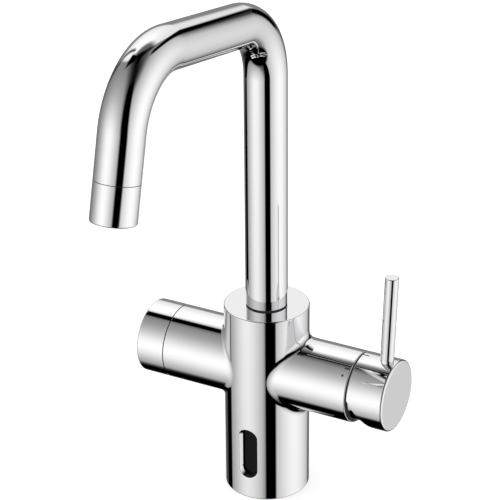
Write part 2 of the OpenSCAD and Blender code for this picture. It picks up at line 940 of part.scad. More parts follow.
// Plastic rotor that turns with the lever and carries the tilt pin
module cartridge_rotor() {
    flange_top = rotor_flange_bottom + rotor_flange_t;
    color("lightgray") on_right(pivot_x) difference() {
        union() {
            rod(cavity_in_r - 0.4, rotor_flange_bottom, flange_top);
            rod(rotor_r, rotor_flange_bottom, rotor_top);
            for (s = [-1, 1]) translate([-rail_half, s > 0 ? rail_y : -rail_y - rail_t, rail_foot])
                cube([2 * rail_half, rail_t, rotor_flange_bottom - rail_foot + 0.5]);
        }
        translate([-slot_half_z, -slot_half_y, rotor_flange_bottom - over])
            cube([2 * slot_half_z, 2 * slot_half_y, rotor_top - rotor_flange_bottom + 2 * over]);
        y_rod(pin_r + seat_gap, -rotor_r - over, rotor_r + over, 0, 0);
    }
}

module tilt_pin() {
    color(steel) on_right(pivot_x) y_rod(pin_r, -pin_half, pin_half, 0, 0);
}

module lever_stem() {
    side = stem_square;
    square_x = stem_r + 5;
    color(steel) on_right(pivot_x) difference() {
        union() {
            translate([0, 0, -ball_arm]) sphere(d = ball_d);
            rod(shank_r, -ball_arm, -5);
            rod(stem_r, -5.5, square_x);
            translate([-side / 2, -side / 2, square_x]) cube([side, side, stem_end - square_x]);
        }
        y_rod(pin_r + run_gap, -stem_r - over, stem_r + over, 0, 0);
    }
}

// Fixed chrome dome that closes the arm behind the hub
module cover_dome() {
    color(chrome) on_right(pivot_x) union() {
        ring(dome_r, dome_r - dome_wall, dome_foot + 0.05, 0);
        difference() {
            intersection() {
                sphere(r = dome_r);
                rod(dome_r + over, 0, dome_rim);
            }
            sphere(r = dome_r - dome_wall);
        }
    }
}

// Wedge that clears the arm when the hub tilts outward
module relief_cut() {
    reach = right_arm_d;
    translate([pivot_x + cut_start, 0, arm_z]) rotate([0, -cut_angle, 0])
        translate([-reach, -reach, -reach]) cube([reach, 2 * reach, reach + cut_start / tan(cut_angle) + over]);
}

module on_rod_axis() {
    translate([rod_x, 0, arm_z + right_r]) rotate([0, rod_lean, 0]) children();
}

module lever_hub() {
    side = stem_square + 2 * run_gap;
    color(chrome) difference() {
        union() {
            difference() {
                on_right(hub_x) bar(right_r, hub_len, hub_edge);
                on_right(pivot_x) sphere(r = hollow_r);
                relief_cut();
            }
            on_right(pivot_x) rod(boss_r, boss_x, hub_end - pivot_x - 2);
        }
        on_right(pivot_x) translate([-side / 2, -side / 2, boss_x - over])
            cube([side, side, stem_end - boss_x + over + 0.05]);
        on_rod_axis() {
            rod(rod_d / 2 + seat_gap, -rod_seat, 2 * rod_seat);
            rod(rod_stud_r, -rod_seat - rod_stud_len - 0.1, 0);
        }
        translate([screw_x, 0, arm_z - right_r - over]) cylinder(r = m4_r + seat_gap, h = right_r);
    }
}

module lever_rod() {
    color(chrome) on_rod_axis() union() {
        translate([0, 0, -rod_seat]) bar(rod_d / 2, rod_len + rod_seat, rod_edge);
        rod(rod_stud_r - seat_gap, -rod_seat - rod_stud_len, -rod_seat);
    }
}

// Headless screw along -Z below an arm's axis, its hexagon socket downward
module arm_screw(x) {
    top = arm_z - stem_square / 2 - 2 * run_gap;
    difference() {
        translate([x, 0, top - m4_len]) cylinder(r = m4_r, h = m4_len);
        translate([x, 0, top - m4_len - over]) cylinder(r = m4_r * 0.55, h = 1.8 + over, $fn = 6);
    }
}

module lever_screw() {
    color(steel) arm_screw(screw_x);
}

module mixer_housing() {
    inner_top = mixer_lid;
    color("ivory") on_left() difference() {
        union() {
            rod(mixer_r - seat_gap, mixer_floor + 0.02, mixer_lid + mixer_lid_t);
            rod(mixer_neck_r, mixer_lid, mixer_neck_end);
        }
        rod(mixer_disc_r + seat_gap, mixer_floor + mixer_base_t, inner_top);
        rod(spindle_r, inner_top - over, mixer_neck_end + over);
        for (s = [-1, 1]) translate([gallery_z - arm_z, s * gallery_y, 0])
            rod(gallery_r, mixer_floor - over, mixer_floor + mixer_base_t + over);
        translate([outlet_z - arm_z, valve_back, 0])
            rod(feed_r, mixer_floor - over, mixer_lid - 5);
        translate([outlet_z - arm_z, valve_back, mixer_lid - 7]) rotate([0, 0, atan2(-valve_back, arm_z - outlet_z)])
            rotate([0, 90, 0]) cylinder(r = 1.5, h = 5);
    }
}

module mixer_fixed_disc() {
    z0 = mixer_floor + mixer_base_t;
    color("white") on_left() difference() {
        rod(mixer_disc_r, z0, z0 + mixer_fixed_t);
        for (s = [-1, 1]) translate([gallery_z - arm_z, s * gallery_y, 0])
            rod(gallery_r - 0.4, z0 - over, z0 + mixer_fixed_t + over);
    }
}

module mixer_turning_disc() {
    z0 = mixer_floor + mixer_base_t + mixer_fixed_t + run_gap;
    color("whitesmoke") on_left() difference() {
        rod(mixer_turning_r, z0, z0 + mixer_turning_t);
        translate([-mixer_turning_r, -3, z0 - over]) cube([mixer_turning_r - 2, 6, mixer_turning_t + 2 * over]);
    }
}

module mixer_spindle() {
    z0 = mixer_floor + mixer_base_t + mixer_fixed_t + run_gap + mixer_turning_t;
    shaft_end = knob_boss_x - 0.4;
    side = spindle_square;
    color(steel) on_left() union() {
        rod(spindle_flange_r, z0, z0 + spindle_flange_t);
        rod(spindle_r - run_gap, z0 + spindle_flange_t, shaft_end);
        translate([-side / 2, -side / 2, shaft_end]) cube([side, side, spindle_end - shaft_end]);
    }
}

module mixer_nut() {
    z0 = mixer_lid + mixer_lid_t;
    color(brass) on_left() difference() {
        rod(mixer_r - seat_gap, z0, z0 + nut_t);
        rod(mixer_neck_r + seat_gap, z0 - over, z0 + nut_t + over);
        for (a = [0:90:270]) rotate(a) translate([mixer_r - 3, 0, z0 + nut_t - 2]) rod(1.5, 0, 3);
    }
}

// Sector of a ring along +Z, centred on the +X side
module sector(r_out, r_in, half, z0, z1) {
    translate([0, 0, z0]) rotate(-half) rotate_extrude(angle = 2 * half) translate([r_in, 0])
        square([r_out - r_in, z1 - z0]);
}

// Fixed ring whose lug stops the knob at each end of its travel
module knob_stop() {
    color([0.2, 0.2, 0.2]) on_left() union() {
        difference() {
            rod(stop_ring_r, stop_x, stop_x + stop_len);
            rod(mixer_neck_r + seat_gap, stop_x - over, mixer_neck_end);
            rod(spindle_r + 0.5, stop_x - over, stop_x + stop_len + over);
        }
        sector(stop_lug_r, stop_ring_r - 0.5, lug_half, stop_x + knob_gap + 2, stop_x + stop_len);
    }
}

module temperature_knob() {
    side = spindle_square + 2 * run_gap;
    inner = left_r - knob_wall;
    color(chrome) difference() {
        union() {
            on_left(knob_x) difference() {
                bar(left_r, knob_len, knob_edge);
                rod(inner, -over, knob_len - knob_top_t);
            }
            on_left() rod(knob_boss_r, knob_boss_x, knob_end - knob_top_t + 0.5);
            on_left() rotate(180) sector(inner + 0.5, knob_lug_r, lug_half, stop_x + knob_gap + 2,
                stop_x + stop_len);
        }
        on_left() translate([-side / 2, -side / 2, knob_boss_x - over])
            cube([side, side, spindle_end - knob_boss_x + over + 0.05]);
        translate([-(knob_boss_x + 4), 0, arm_z - left_r - over]) cylinder(r = m4_r + seat_gap, h = left_r);
    }
}

module knob_screw() {
    color(steel) arm_screw(-(knob_boss_x + 4));
}

body_casting();
base_plate();
base_gasket();
base_grub_screw();
hot_inlet_tube();
cold_inlet_tube();
hot_strainer();
cold_strainer();
hot_check_valve();
cold_check_valve();
cable_gland();
sensor_lens();
sensor_gasket();
sensor_housing();
sensor_board();
infrared_emitter();
infrared_receiver();
sensor_bracket();
sensor_screw();
valve_seat();
valve_diaphragm();
valve_guide();
valve_coil();
valve_plunger();
plunger_spring();
spout_bearing();
spout_stop_screw();
spout_tube();
spout_spigot();
spout_o_rings();
outlet_bush();
aerator_sleeve();
aerator_gasket();
flow_regulator();
aerator_insert();
aerator_grid();
port_plate();
port_seals();
fixed_disc();
moving_disc();
disc_carrier();
cartridge_housing();
cartridge_nut();
cartridge_rotor();
tilt_pin();
lever_stem();
cover_dome();
lever_hub();
lever_rod();
lever_screw();
mixer_housing();
mixer_fixed_disc();
mixer_turning_disc();
mixer_spindle();
mixer_nut();
knob_stop();
temperature_knob();
knob_screw();
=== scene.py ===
"""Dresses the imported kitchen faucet.

The polished casing, spout, knob and lever are modelled again with dense round meshes, because polished
chrome shows every facet. The inner pieces keep their solids and get their materials. A pale floor, one soft
lamp, a white room with diffusers and dark or grey cards for the chrome, and the camera complete the scene.
All lengths are in metres.
"""

from __future__ import annotations

import json
import logging
import math
from dataclasses import asdict, dataclass, field, fields, replace
from enum import Enum
from typing import Callable, Iterable, Sequence

import bmesh
import bpy
from mathutils import Euler, Matrix, Vector

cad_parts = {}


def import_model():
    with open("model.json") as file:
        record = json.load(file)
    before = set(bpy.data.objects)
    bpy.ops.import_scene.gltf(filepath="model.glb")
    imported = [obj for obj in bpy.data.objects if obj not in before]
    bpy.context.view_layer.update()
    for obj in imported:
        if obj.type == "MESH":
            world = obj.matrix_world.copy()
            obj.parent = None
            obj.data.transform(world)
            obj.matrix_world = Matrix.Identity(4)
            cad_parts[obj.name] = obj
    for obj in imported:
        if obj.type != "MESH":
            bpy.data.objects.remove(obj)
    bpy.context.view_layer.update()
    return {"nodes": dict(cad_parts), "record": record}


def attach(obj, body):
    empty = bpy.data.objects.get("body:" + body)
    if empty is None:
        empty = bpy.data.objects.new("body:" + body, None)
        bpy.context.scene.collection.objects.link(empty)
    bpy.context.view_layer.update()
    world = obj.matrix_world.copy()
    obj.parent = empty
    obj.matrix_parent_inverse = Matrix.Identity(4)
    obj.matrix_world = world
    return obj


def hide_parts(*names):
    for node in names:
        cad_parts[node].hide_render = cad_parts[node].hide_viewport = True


log = logging.getLogger("faucet")

Piece = bpy.types.Object
Socket = bpy.types.NodeSocket
Section = tuple[list[Vector], list[Vector]]

MM = 0.001
"""One millimetre in metres."""

HAIR = 0.001 * MM
"""Two points that are nearer than this count as one."""

BODY_RADIUS = 28.5 * MM
LEFT_RADIUS = 25.25 * MM
RIGHT_RADIUS = 24.25 * MM
ARM_HEIGHT = 90.5 * MM

UP = Vector((0.0, 0.0, 1.0))
RIGHT = Vector((1.0, 0.0, 0.0))
LEFT = Vector((-1.0, 0.0, 0.0))
BACK = Vector((0.0, 1.0, 0.0))


def on_axis(x: float) -> Vector:
    """A point on the arms' common axis."""
    return Vector((x, 0, ARM_HEIGHT))


# Exact normals of round surfaces


class RoundSurface:
    """A surface whose exact normal is known at each of its points."""

    tolerance: float = 0.02 * MM

    def normal(self, point: Vector) -> Vector | None:
        """The outward normal at a point, or None off the surface."""
        raise NotImplementedError

    def unit(self, away: Vector, radius: float, hollow: bool = False) -> Vector | None:
        """Finds the outward direction of a vector that ends on the surface.

        Args:
            away: a vector to a point, from the surface's centre or centre line.
            radius: the surface's radius.
            hollow: True where outward is towards the centre.

        Returns:
            The direction, or None for a vector of another length.
        """
        if abs(away.length - radius) > self.tolerance:
            return None
        return (-away if hollow else away).normalized()


@dataclass(frozen=True)
class Barrel(RoundSurface):
    """The side of a cylinder, and so the plan for a rod or a round hole.

    Attributes:
        start: where it starts on its axis.
        axis: the direction in which it runs.
        radius: its radius.
        length: its length, which a plan needs and a normal doesn't.
        hollow: True for a hole, whose normal points to the axis.
    """

    start: Vector
    axis: Vector
    radius: float
    length: float = 0.0
    hollow: bool = False

    @property
    def end(self) -> Vector:
        """Where it ends on its axis."""
        return self.start + self.axis * self.length

    def normal(self, point: Vector) -> Vector | None:
        """The radial direction, where the point lies on the side."""
        arm = point - self.start
        return self.unit(arm - self.axis * arm.dot(self.axis), self.radius, self.hollow)


@dataclass(frozen=True)
class RoundedRim(RoundSurface):
    """The rounded edge of a cylinder's end, whose axis points out of the end face."""

    centre: Vector
    axis: Vector
    radius: float
    edge: float

    def normal(self, point: Vector) -> Vector | None:
        """The direction away from the rounding's centre circle.

        Args:
            point: a point of the piece.

        Returns:
            The direction, or None off the rounding.
        """
        arm = point - self.centre
        along = arm.dot(self.axis)
        radial = arm - self.axis * along
        if radial.length < self.radius - self.edge - self.tolerance or along < -self.edge - self.tolerance:
            return None
        core = self.centre + radial.normalized() * (self.radius - self.edge) - self.axis * self.edge
        return self.unit(point - core, self.edge)


@dataclass(frozen=True)
class Ball(RoundSurface):
    """A sphere, or the hollow that one leaves."""

    centre: Vector
    radius: float
    hollow: bool = False

    def normal(self, point: Vector) -> Vector | None:
        """The direction from the centre, or to it in a hollow."""
        return self.unit(point - self.centre, self.radius, self.hollow)


@dataclass(frozen=True)
class Elbow(RoundSurface):
    """The outside of a tube that is bent about an axis, with the bend's radius at its centre line."""

    centre: Vector
    axis: Vector
    bend: float
    radius: float

    def normal(self, point: Vector) -> Vector | None:
        """The direction away from the tube's centre line.

        Args:
            point: a point of the piece.

        Returns:
            The direction, or None off the bend.
        """
        arm = point - self.centre
        flat = arm - self.axis * arm.dot(self.axis)
        return self.unit(arm - flat.normalized() * self.bend, self.radius)


# Modelling by hand


class Join(Enum):
    """How a tool shapes a piece."""

    FUSE = "UNION"
    CUT = "DIFFERENCE"
    TRIM = "INTERSECT"


class Bench:
    """Adds primitives and handles them with Blender's own operators."""

    @staticmethod
    def clear() -> None:
        """Leaves nothing selected."""
        if bpy.context.object is not None and bpy.context.object.mode != "OBJECT":
            bpy.ops.object.mode_set(mode="OBJECT")
        bpy.ops.object.select_all(action="DESELECT")

    @classmethod
    def take(cls, piece: Piece) -> None:
        """Selects one object alone and makes it active.

        Args:
            piece: the object.
        """
        cls.clear()
        piece.select_set(True)
        bpy.context.view_layer.objects.active = piece

    @classmethod
    def settle(cls, piece: Piece) -> Piece:
        """Moves the object's place into its mesh.

        Args:
            piece: the object.

        Returns:
            The same object.
        """
        cls.take(piece)
        bpy.ops.object.transform_apply(location=True, rotation=True, scale=True)
        return piece

    @classmethod
    def named(cls, name: str) -> Piece:
        """Names the object that was just added and moves its place into its mesh.

        Args:
            name: its name.

        Returns:
            The object.
        """
        piece = bpy.context.object
        piece.name = name
        return cls.settle(piece)

    @staticmethod
    def lean(axis: Vector) -> Euler:
        """The turn from upright to an axis."""
        return UP.rotation_difference(axis).to_euler()

    @classmethod
    def rod(cls, name: str, plan: Barrel, sides: int = 256) -> Piece:
        """Adds a solid cylinder.

        Args:
            name: its name.
            plan: its place and size.
            sides: number of its sides.

        Returns:
            The cylinder.
        """
        cls.clear()
        bpy.ops.mesh.primitive_cylinder_add(
            vertices=sides,
            radius=plan.radius,
            depth=plan.length,
            location=plan.start + plan.axis * (plan.length / 2),
            rotation=cls.lean(plan.axis),
        )
        return cls.named(name)

    @classmethod
    def block(cls, name: str, low: Vector, high: Vector) -> Piece:
        """Adds a box between two corners.

        Args:
            name: its name.
            low: its lowest corner.
            high: its highest corner.

        Returns:
            The box.
        """
        cls.clear()
        bpy.ops.mesh.primitive_cube_add(size=1, location=(low + high) / 2)
        bpy.context.object.scale = high - low
        return cls.named(name)

    @classmethod
    def ball(cls, name: str, plan: Ball, axis: Vector, rings: int = 96) -> Piece:
        """Adds a fine sphere.

        Args:
            name: its name.
            plan: its place and size.
            axis: direction of its poles.
            rings: number of its rings of faces.

        Returns:
            The sphere.
        """
        cls.clear()
        bpy.ops.mesh.primitive_uv_sphere_add(
            segments=2 * rings,
            ring_count=rings,
            radius=plan.radius,
            location=plan.centre,
            rotation=cls.lean(axis),
        )
        return cls.named(name)

    @classmethod
    def pick_edges(cls, piece: Piece, test: Callable[[Vector], bool]) -> None:
        """Enters edit mode with those edges selected whose two ends pass a test.

        Args:
            piece: the object.
            test: tells whether a point passes.
        """
        cls.take(piece)
        bpy.ops.object.mode_set(mode="EDIT")
        bpy.ops.mesh.select_mode(type="EDGE")
        bpy.ops.mesh.select_all(action="DESELECT")
        form = bmesh.from_edit_mesh(piece.data)
        for edge in form.edges:
            edge.select_set(all(test(v.co) for v in edge.verts))
        bmesh.update_edit_mesh(piece.data)

    @staticmethod
    def pull(step: Vector) -> None:
        """Extrudes the selected ring along a straight."""
        bpy.ops.mesh.extrude_edges_move(TRANSFORM_OT_translate={"value": tuple(step)})

    @staticmethod
    def turn(centre: Vector, angle_deg: float, steps: int) -> None:
        """Spins the selected ring forward round a bend's centre.

        Args:
            centre: centre of the bend.
            angle_deg: angle of the bend.
            steps: number of rings that it adds.
        """
        bpy.ops.mesh.spin(
            steps=steps, angle=-math.radians(angle_deg), center=tuple(centre), axis=tuple(RIGHT), dupli=False
        )

    @classmethod
    def slice(cls, piece: Piece, point: Vector, normal: Vector) -> None:
        """Cuts a skin with a plane and drops what lies on the normal's side.

        Args:
            piece: the skin.
            point: a point of the plane.
            normal: normal of the plane.
        """
        cls.take(piece)
        bpy.ops.object.mode_set(mode="EDIT")
        bpy.ops.mesh.select_all(action="SELECT")
        bpy.ops.mesh.bisect(plane_co=point, plane_no=normal, use_fill=False, clear_outer=True)
        bpy.ops.object.mode_set(mode="OBJECT")

    @classmethod
    def thicken(cls, piece: Piece, wall: float) -> None:
        """Gives an open skin a wall on its inner side.

        Args:
            piece: the skin.
            wall: thickness of the wall.
        """
        cls.take(piece)
        change = piece.modifiers.new("wall", "SOLIDIFY")
        change.thickness, change.offset, change.use_even_offset = wall, -1.0, True
        bpy.ops.object.modifier_apply(modifier=change.name)


class Shape:
    """A piece in the making, with the round surfaces that it is made of."""

    def __init__(self, piece: Piece, *surfaces: RoundSurface) -> None:
        """Takes up a piece with the surfaces that it has so far."""
        self.piece = piece
        self.surfaces = list(surfaces)

    @classmethod
    def bar(cls, name: str, plan: Barrel, edge: float = 0.0, sides: int = 384) -> Shape:
        """Makes a round bar.

        Args:
            name: name of the piece.
            plan: its place and size.
            edge: radius of the rounding at its far end, or 0 for a plain end.
            sides: number of its sides.

        Returns:
            The bar.
        """
        shape = cls(Bench.rod(name, plan, sides), plan)
        if edge:
            shape.soften(RoundedRim(plan.end, plan.axis, plan.radius, edge))
        return shape

    def soften(self, rim: RoundedRim, steps: int = 8) -> None:
        """Rounds the rim of an end face.

        Args:
            rim: the rounding.
            steps: number of faces across it.
        """
        Bench.pick_edges(self.piece, lambda p: abs((p - rim.centre).dot(rim.axis)) < HAIR)
        bpy.ops.mesh.bevel(offset=rim.edge, segments=steps, profile=0.5, affect="EDGES")
        bpy.ops.object.mode_set(mode="OBJECT")
        self.surfaces.append(rim)

    def combine(self, tool: Piece, join: Join) -> None:
        """Shapes the piece with a tool.

        Args:
            tool: the object to shape it with, which is used up.
            join: what becomes of the two.
        """
        Bench.take(self.piece)
        change = self.piece.modifiers.new("shape", "BOOLEAN")
        change.operation, change.object, change.solver = join.value, tool, "EXACT"
        bpy.ops.object.modifier_apply(modifier=change.name)
        bpy.data.objects.remove(tool)

    def bore(self, plan: Barrel, sides: int = 192) -> None:
        """Cuts a round hole and notes its wall among the round surfaces."""
        self.combine(Bench.rod("cutter", plan, sides), Join.CUT)
        self.surfaces.append(replace(plan, hollow=True))

    def square_hole(self, first: Vector, last: Vector, width: float) -> None:
        """Cuts a square hole between two points on the arms' axis, the one with the lower X first."""
        half = Vector((0, width / 2, width / 2))
        self.combine(Bench.block("cutter", first - half, last + half), Join.CUT)

    def polished(self, slack_deg: float = 12.0) -> Piece:
        """Gives every corner the exact normal of the round surface that its face lies on.

        Args:
            slack_deg: how far a face may lean from the exact normal and still belong to a surface.

        Returns:
            The piece. Its faces on no round surface stay flat.
        """
        mesh = self.piece.data
        mesh.polygons.foreach_set("use_smooth", [True] * len(mesh.polygons))
        limit = math.cos(math.radians(slack_deg))
        normals: list[Vector] = [UP] * len(mesh.loops)
        for face in mesh.polygons:
            for loop in face.loop_indices:
                point = mesh.vertices[mesh.loops[loop].vertex_index].co
                best, score = face.normal.copy(), limit
                for surface in self.surfaces:
                    exact = surface.normal(point)
                    if exact is not None and exact.dot(face.normal) > score:
                        best, score = exact, exact.dot(face.normal)
                normals[loop] = best
        mesh.normals_split_custom_set(normals)
        return self.piece


def loft_ring(name: str, sections: Sequence[Section], flip: bool) -> Piece:
    """Joins closed cross-sections into a ring whose leading points carry exact normals.

    Args:
        name: name of the ring.
        sections: each cross-section's points, and the normals of its leading points.
        flip: True where the sections run the other way round.

    Returns:
        The ring, smooth across its leading points and flat elsewhere.
    """
    points = [p for corners, _ in sections for p in corners]
    row, shown = len(sections[0][0]), len(sections[0][1])
    faces = []
    for i in range(len(sections)):
        j = (i + 1) % len(sections)
        for k in range(row):
            m = (k + 1) % row
            corners = (i * row + k, j * row + k, j * row + m, i * row + m)
            faces.append(corners[::-1] if flip else corners)
    mesh = bpy.data.meshes.new(name)
    mesh.from_pydata(points, [], faces)
    mesh.update()
    piece = bpy.data.objects.new(name, mesh)
    bpy.context.scene.collection.objects.link(piece)
    mesh.polygons.foreach_set("use_smooth", [True] * len(mesh.polygons))
    exact: list[Vector] = []
    for face in mesh.polygons:
        hidden = any(v % row >= shown for v in face.vertices)
        for v in face.vertices:
            exact.append(face.normal.copy() if hidden else sections[v // row][1][v % row])
    mesh.normals_split_custom_set(exact)
    return piece


# Nodes


class Wires:
    """Adds nodes to a tree with plain calls."""

    def __init__(self, tree: bpy.types.NodeTree) -> None:
        """Keeps the tree that is wired."""
        self.tree = tree

    def feed(self, slot: Socket, value: object) -> None:
        """Feeds an input.

        Args:
            slot: the input.
            value: an output to link, or the number, colour or vector to hold.
        """
        if isinstance(value, bpy.types.NodeSocket):
            self.tree.links.new(value, slot)
        else:
            slot.default_value = value

    def node(
        self, kind: str, inputs: dict[str | int, object] | None = None, **settings: object
    ) -> Sequence[Socket]:
        """Adds a node.

        Args:
            kind: type of the node.
            inputs: what its inputs get, by name or number.
            settings: the node's own settings.

        Returns:
            The node's outputs, by name or number.
        """
        node = self.tree.nodes.new(kind)
        for label, value in settings.items():
            setattr(node, label, value)
        for label, value in (inputs or {}).items():
            self.feed(node.inputs[label], value)
        return node.outputs

    def math(self, kind: str, *values: object) -> Socket:
        """Adds a math node and returns its result."""
        return self.node("ShaderNodeMath", dict(enumerate(values)), operation=kind)[0]

    def dot(self, first: object, second: object) -> Socket:
        """Adds a dot product and returns its value."""
        return self.node("ShaderNodeVectorMath", {0: first, 1: second}, operation="DOT_PRODUCT")["Value"]

    def step(self, inside: object, soft: object) -> Socket:
        """Turns a distance inside an edge into a smooth step from 0 to 1.

        Args:
            inside: the distance, which is negative outside.
            soft: width of the step.

        Returns:
            0 outside, 1 inside and a share between them at the edge.
        """
        share = self.math("DIVIDE", inside, soft)
        bounds = {"From Min": -0.5, "From Max": 0.5}
        return self.node("ShaderNodeMapRange", {"Value": share, **bounds}, interpolation_type="SMOOTHSTEP")[0]

    def blend(self, share: Socket, first: Socket, second: Socket) -> Socket:
        """Goes from one shader to another by a share."""
        return self.node("ShaderNodeMixShader", {0: share, 1: first, 2: second})[0]

    def group(self, tree: bpy.types.NodeTree, values: dict[str, object]) -> Sequence[Socket]:
        """Places a node group with its own values."""
        return self.node("ShaderNodeGroup", values, node_tree=tree)


class GroupWires(Wires):
    """Adds nodes to a new shader node group."""

    def __init__(
        self, name: str, vectors: Iterable[str], numbers: dict[str, float], results: Iterable[str]
    ) -> None:
        """Starts the group.

        Args:
            name: name of the group.
            vectors: names of its vector inputs.
            numbers: names of its number inputs, with what they hold at first.
            results: names of its outputs.
        """
        super().__init__(bpy.data.node_groups.new(name, "ShaderNodeTree"))
        add = self.tree.interface.new_socket
        for label in vectors:
            add(label, in_out="INPUT", socket_type="NodeSocketVector")
        for label, value in numbers.items():
            add(label, in_out="INPUT", socket_type="NodeSocketFloat").default_value = value
        for label in results:
            add(label, in_out="OUTPUT", socket_type="NodeSocketFloat")
        self.given = self.node("NodeGroupInput")

    def give(self, values: dict[str, object]) -> bpy.types.NodeTree:
        """Feeds the group's outputs and returns the group."""
        self.node("NodeGroupOutput", values)
        return self.tree


def new_material(name: str, constants: dict[str, object]) -> tuple[bpy.types.Material, Wires, bpy.types.Node]:
    """Starts a material.

    Args:
        name: name of the material.
        constants: what the shader's own sockets hold.

    Returns:
        The material, the wires of its tree and its shader.
    """
    surface = bpy.data.materials.new(name)
    surface.use_nodes = True
    shader = surface.node_tree.nodes["Principled BSDF"]
    for label, value in constants.items():
        shader.inputs[label].default_value = value
    return surface, Wires(surface.node_tree), shader


# Finishes


class Wear:
    """The shared node group for fine surface variation: soft clouds, fine grain and a height."""

    NAME = "fine_variation"

    @classmethod
    def group(cls) -> bpy.types.NodeTree:
        """Builds the group once.

        Returns:
            The group.
        """
        if cls.NAME in bpy.data.node_groups:
            return bpy.data.node_groups[cls.NAME]
        numbers = {"Cloud Scale": 30.0, "Grain Scale": 900.0, "Grain Share": 0.3}
        wires = GroupWires(cls.NAME, (), numbers, ("Variation", "Height"))
        place, given = wires.node("ShaderNodeTexCoord")["Object"], wires.given
        cloud, grain = (
            wires.node("ShaderNodeTexNoise", {"Vector": place, "Scale": given[label], "Detail": detail})[0]
            for label, detail in (("Cloud Scale", 3.0), ("Grain Scale", 2.0))
        )
        mixed = wires.node("ShaderNodeMix", {0: given["Grain Share"], 2: cloud, 3: grain})[0]
        return wires.give({"Variation": mixed, "Height": grain})


@dataclass(frozen=True)
class Finish:
    """A surface finish made of two near tones, a roughness range and a fine relief.

    Attributes:
        name: the material's name.
        light: the lighter tone.
        dark: the darker tone.
        metallic: 1 for bare metal.
        rough: lowest and highest roughness.
        cloud: scale of the soft clouds, per metre.
        grain: scale of the fine grain, per metre.
        relief: height of the grain, in metres.
        coat: clear coat on top.
        ior: index of refraction of the surface.
    """

    name: str
    light: tuple[float, float, float]
    dark: tuple[float, float, float]
    metallic: float = 0.0
    rough: tuple[float, float] = (0.35, 0.5)
    cloud: float = 40.0
    grain: float = 1500.0
    relief: float = 1e-5
    coat: float = 0.0
    ior: float = 1.45

    def material(self) -> bpy.types.Material:
        """Builds the material once.

        Returns:
            The material.
        """
        if self.name in bpy.data.materials:
            return bpy.data.materials[self.name]
        constants = {"Metallic": self.metallic, "IOR": self.ior, "Coat Weight": self.coat}
        surface, wires, shader = new_material(self.name, constants)
        wear = wires.group(Wear.group(), {"Cloud Scale": self.cloud, "Grain Scale": self.grain})
        vary = wear["Variation"]
        dark, light, mixed = 6, 7, 2
        tones = {0: vary, dark: (*self.dark, 1.0), light: (*self.light, 1.0)}
        bounds = dict(zip(("From Min", "From Max", "To Min", "To Max"), (0.3, 0.7, *self.rough)))
        relief = {"Strength": 1.0, "Distance": self.relief, "Height": wear["Height"]}
        for label, result in (
            ("Base Color", wires.node("ShaderNodeMix", tones, data_type="RGBA")[mixed]),
            ("Roughness", wires.node("ShaderNodeMapRange", {"Value": vary, **bounds})[0]),
            ("Normal", wires.node("ShaderNodeBump", relief)[0]),
        ):
            wires.feed(shader.inputs[label], result)
        return surface


FINISHES: dict[str, Finish] = {
    "chrome": Finish(
        "polished_chrome", (0.94, 0.94, 0.95), (0.92, 0.92, 0.93), 1.0, (0.01, 0.018), 25.0, 500.0, 0.0
    ),
    "brass": Finish(
        "machined_brass", (0.83, 0.67, 0.36), (0.72, 0.55, 0.27), 1.0, (0.22, 0.38), 60.0, 2500.0, 4e-6
    ),
    "steel": Finish(
        "turned_steel", (0.68, 0.68, 0.69), (0.55, 0.55, 0.57), 1.0, (0.22, 0.36), 60.0, 3000.0, 4e-6
    ),
    "rubber": Finish(
        "moulded_rubber", (0.035,) * 3, (0.018,) * 3, 0.0, (0.55, 0.75), 80.0, 3500.0, 1.5e-5
    ),
    "ceramic": Finish(
        "lapped_ceramic", (0.9, 0.9, 0.88), (0.84, 0.84, 0.81), 0.0, (0.12, 0.22), 50.0, 2500.0, 1e-6,
        coat=0.3, ior=1.6,
    ),
    "white_plastic": Finish(
        "ivory_plastic", (0.86, 0.85, 0.80), (0.79, 0.77, 0.71), 0.0, (0.38, 0.52), 50.0, 2800.0, 8e-6
    ),
    "grey_plastic": Finish(
        "grey_plastic", (0.52, 0.52, 0.53), (0.44, 0.44, 0.45), 0.0, (0.4, 0.55), 50.0, 2800.0, 8e-6
    ),
    "black_plastic": Finish(
        "black_plastic", (0.03,) * 3, (0.015,) * 3, 0.0, (0.35, 0.5), 50.0, 2800.0, 8e-6
    ),
    "sensor_window": Finish(
        "infrared_window", (3e-3, 3e-3, 4e-3), (1e-3, 1e-3, 1.5e-3), 0.0, (0.03, 0.06), 30.0, 900.0, 0.0,
        ior=1.2,
    ),
    "circuit_board": Finish(
        "circuit_board", (0.05, 0.27, 0.12), (0.03, 0.19, 0.08), 0.0, (0.3, 0.45), 60.0, 1800.0, 1.2e-5, 0.4
    ),
    "diode_blue": Finish(
        "clear_blue_epoxy", (0.24, 0.25, 0.46), (0.17, 0.18, 0.38), 0.0, (0.08, 0.16), 80.0, 2000.0, 2e-6, 0.6
    ),
    "diode_black": Finish(
        "dark_epoxy", (0.03, 0.03, 0.04), (0.015, 0.015, 0.02), 0.0, (0.08, 0.16), 80.0, 2000.0, 2e-6, 0.6
    ),
    "coil": Finish(
        "lacquered_copper", (0.72, 0.4, 0.2), (0.52, 0.26, 0.12), 1.0, (0.2, 0.34), 90.0, 4000.0, 1.5e-5, 0.5
    ),
}
FINISHES["aerator_plastic"] = FINISHES["grey_plastic"]
ENGRAVED = Finish("engraved_mark", (0.05,) * 3, (0.03,) * 3, 0.0, (0.4, 0.6))


def wear_finish(piece: Piece, finish: Finish) -> None:
    """Puts a finish on the whole of a piece."""
    piece.data.materials.clear()
    piece.data.materials.append(finish.material())


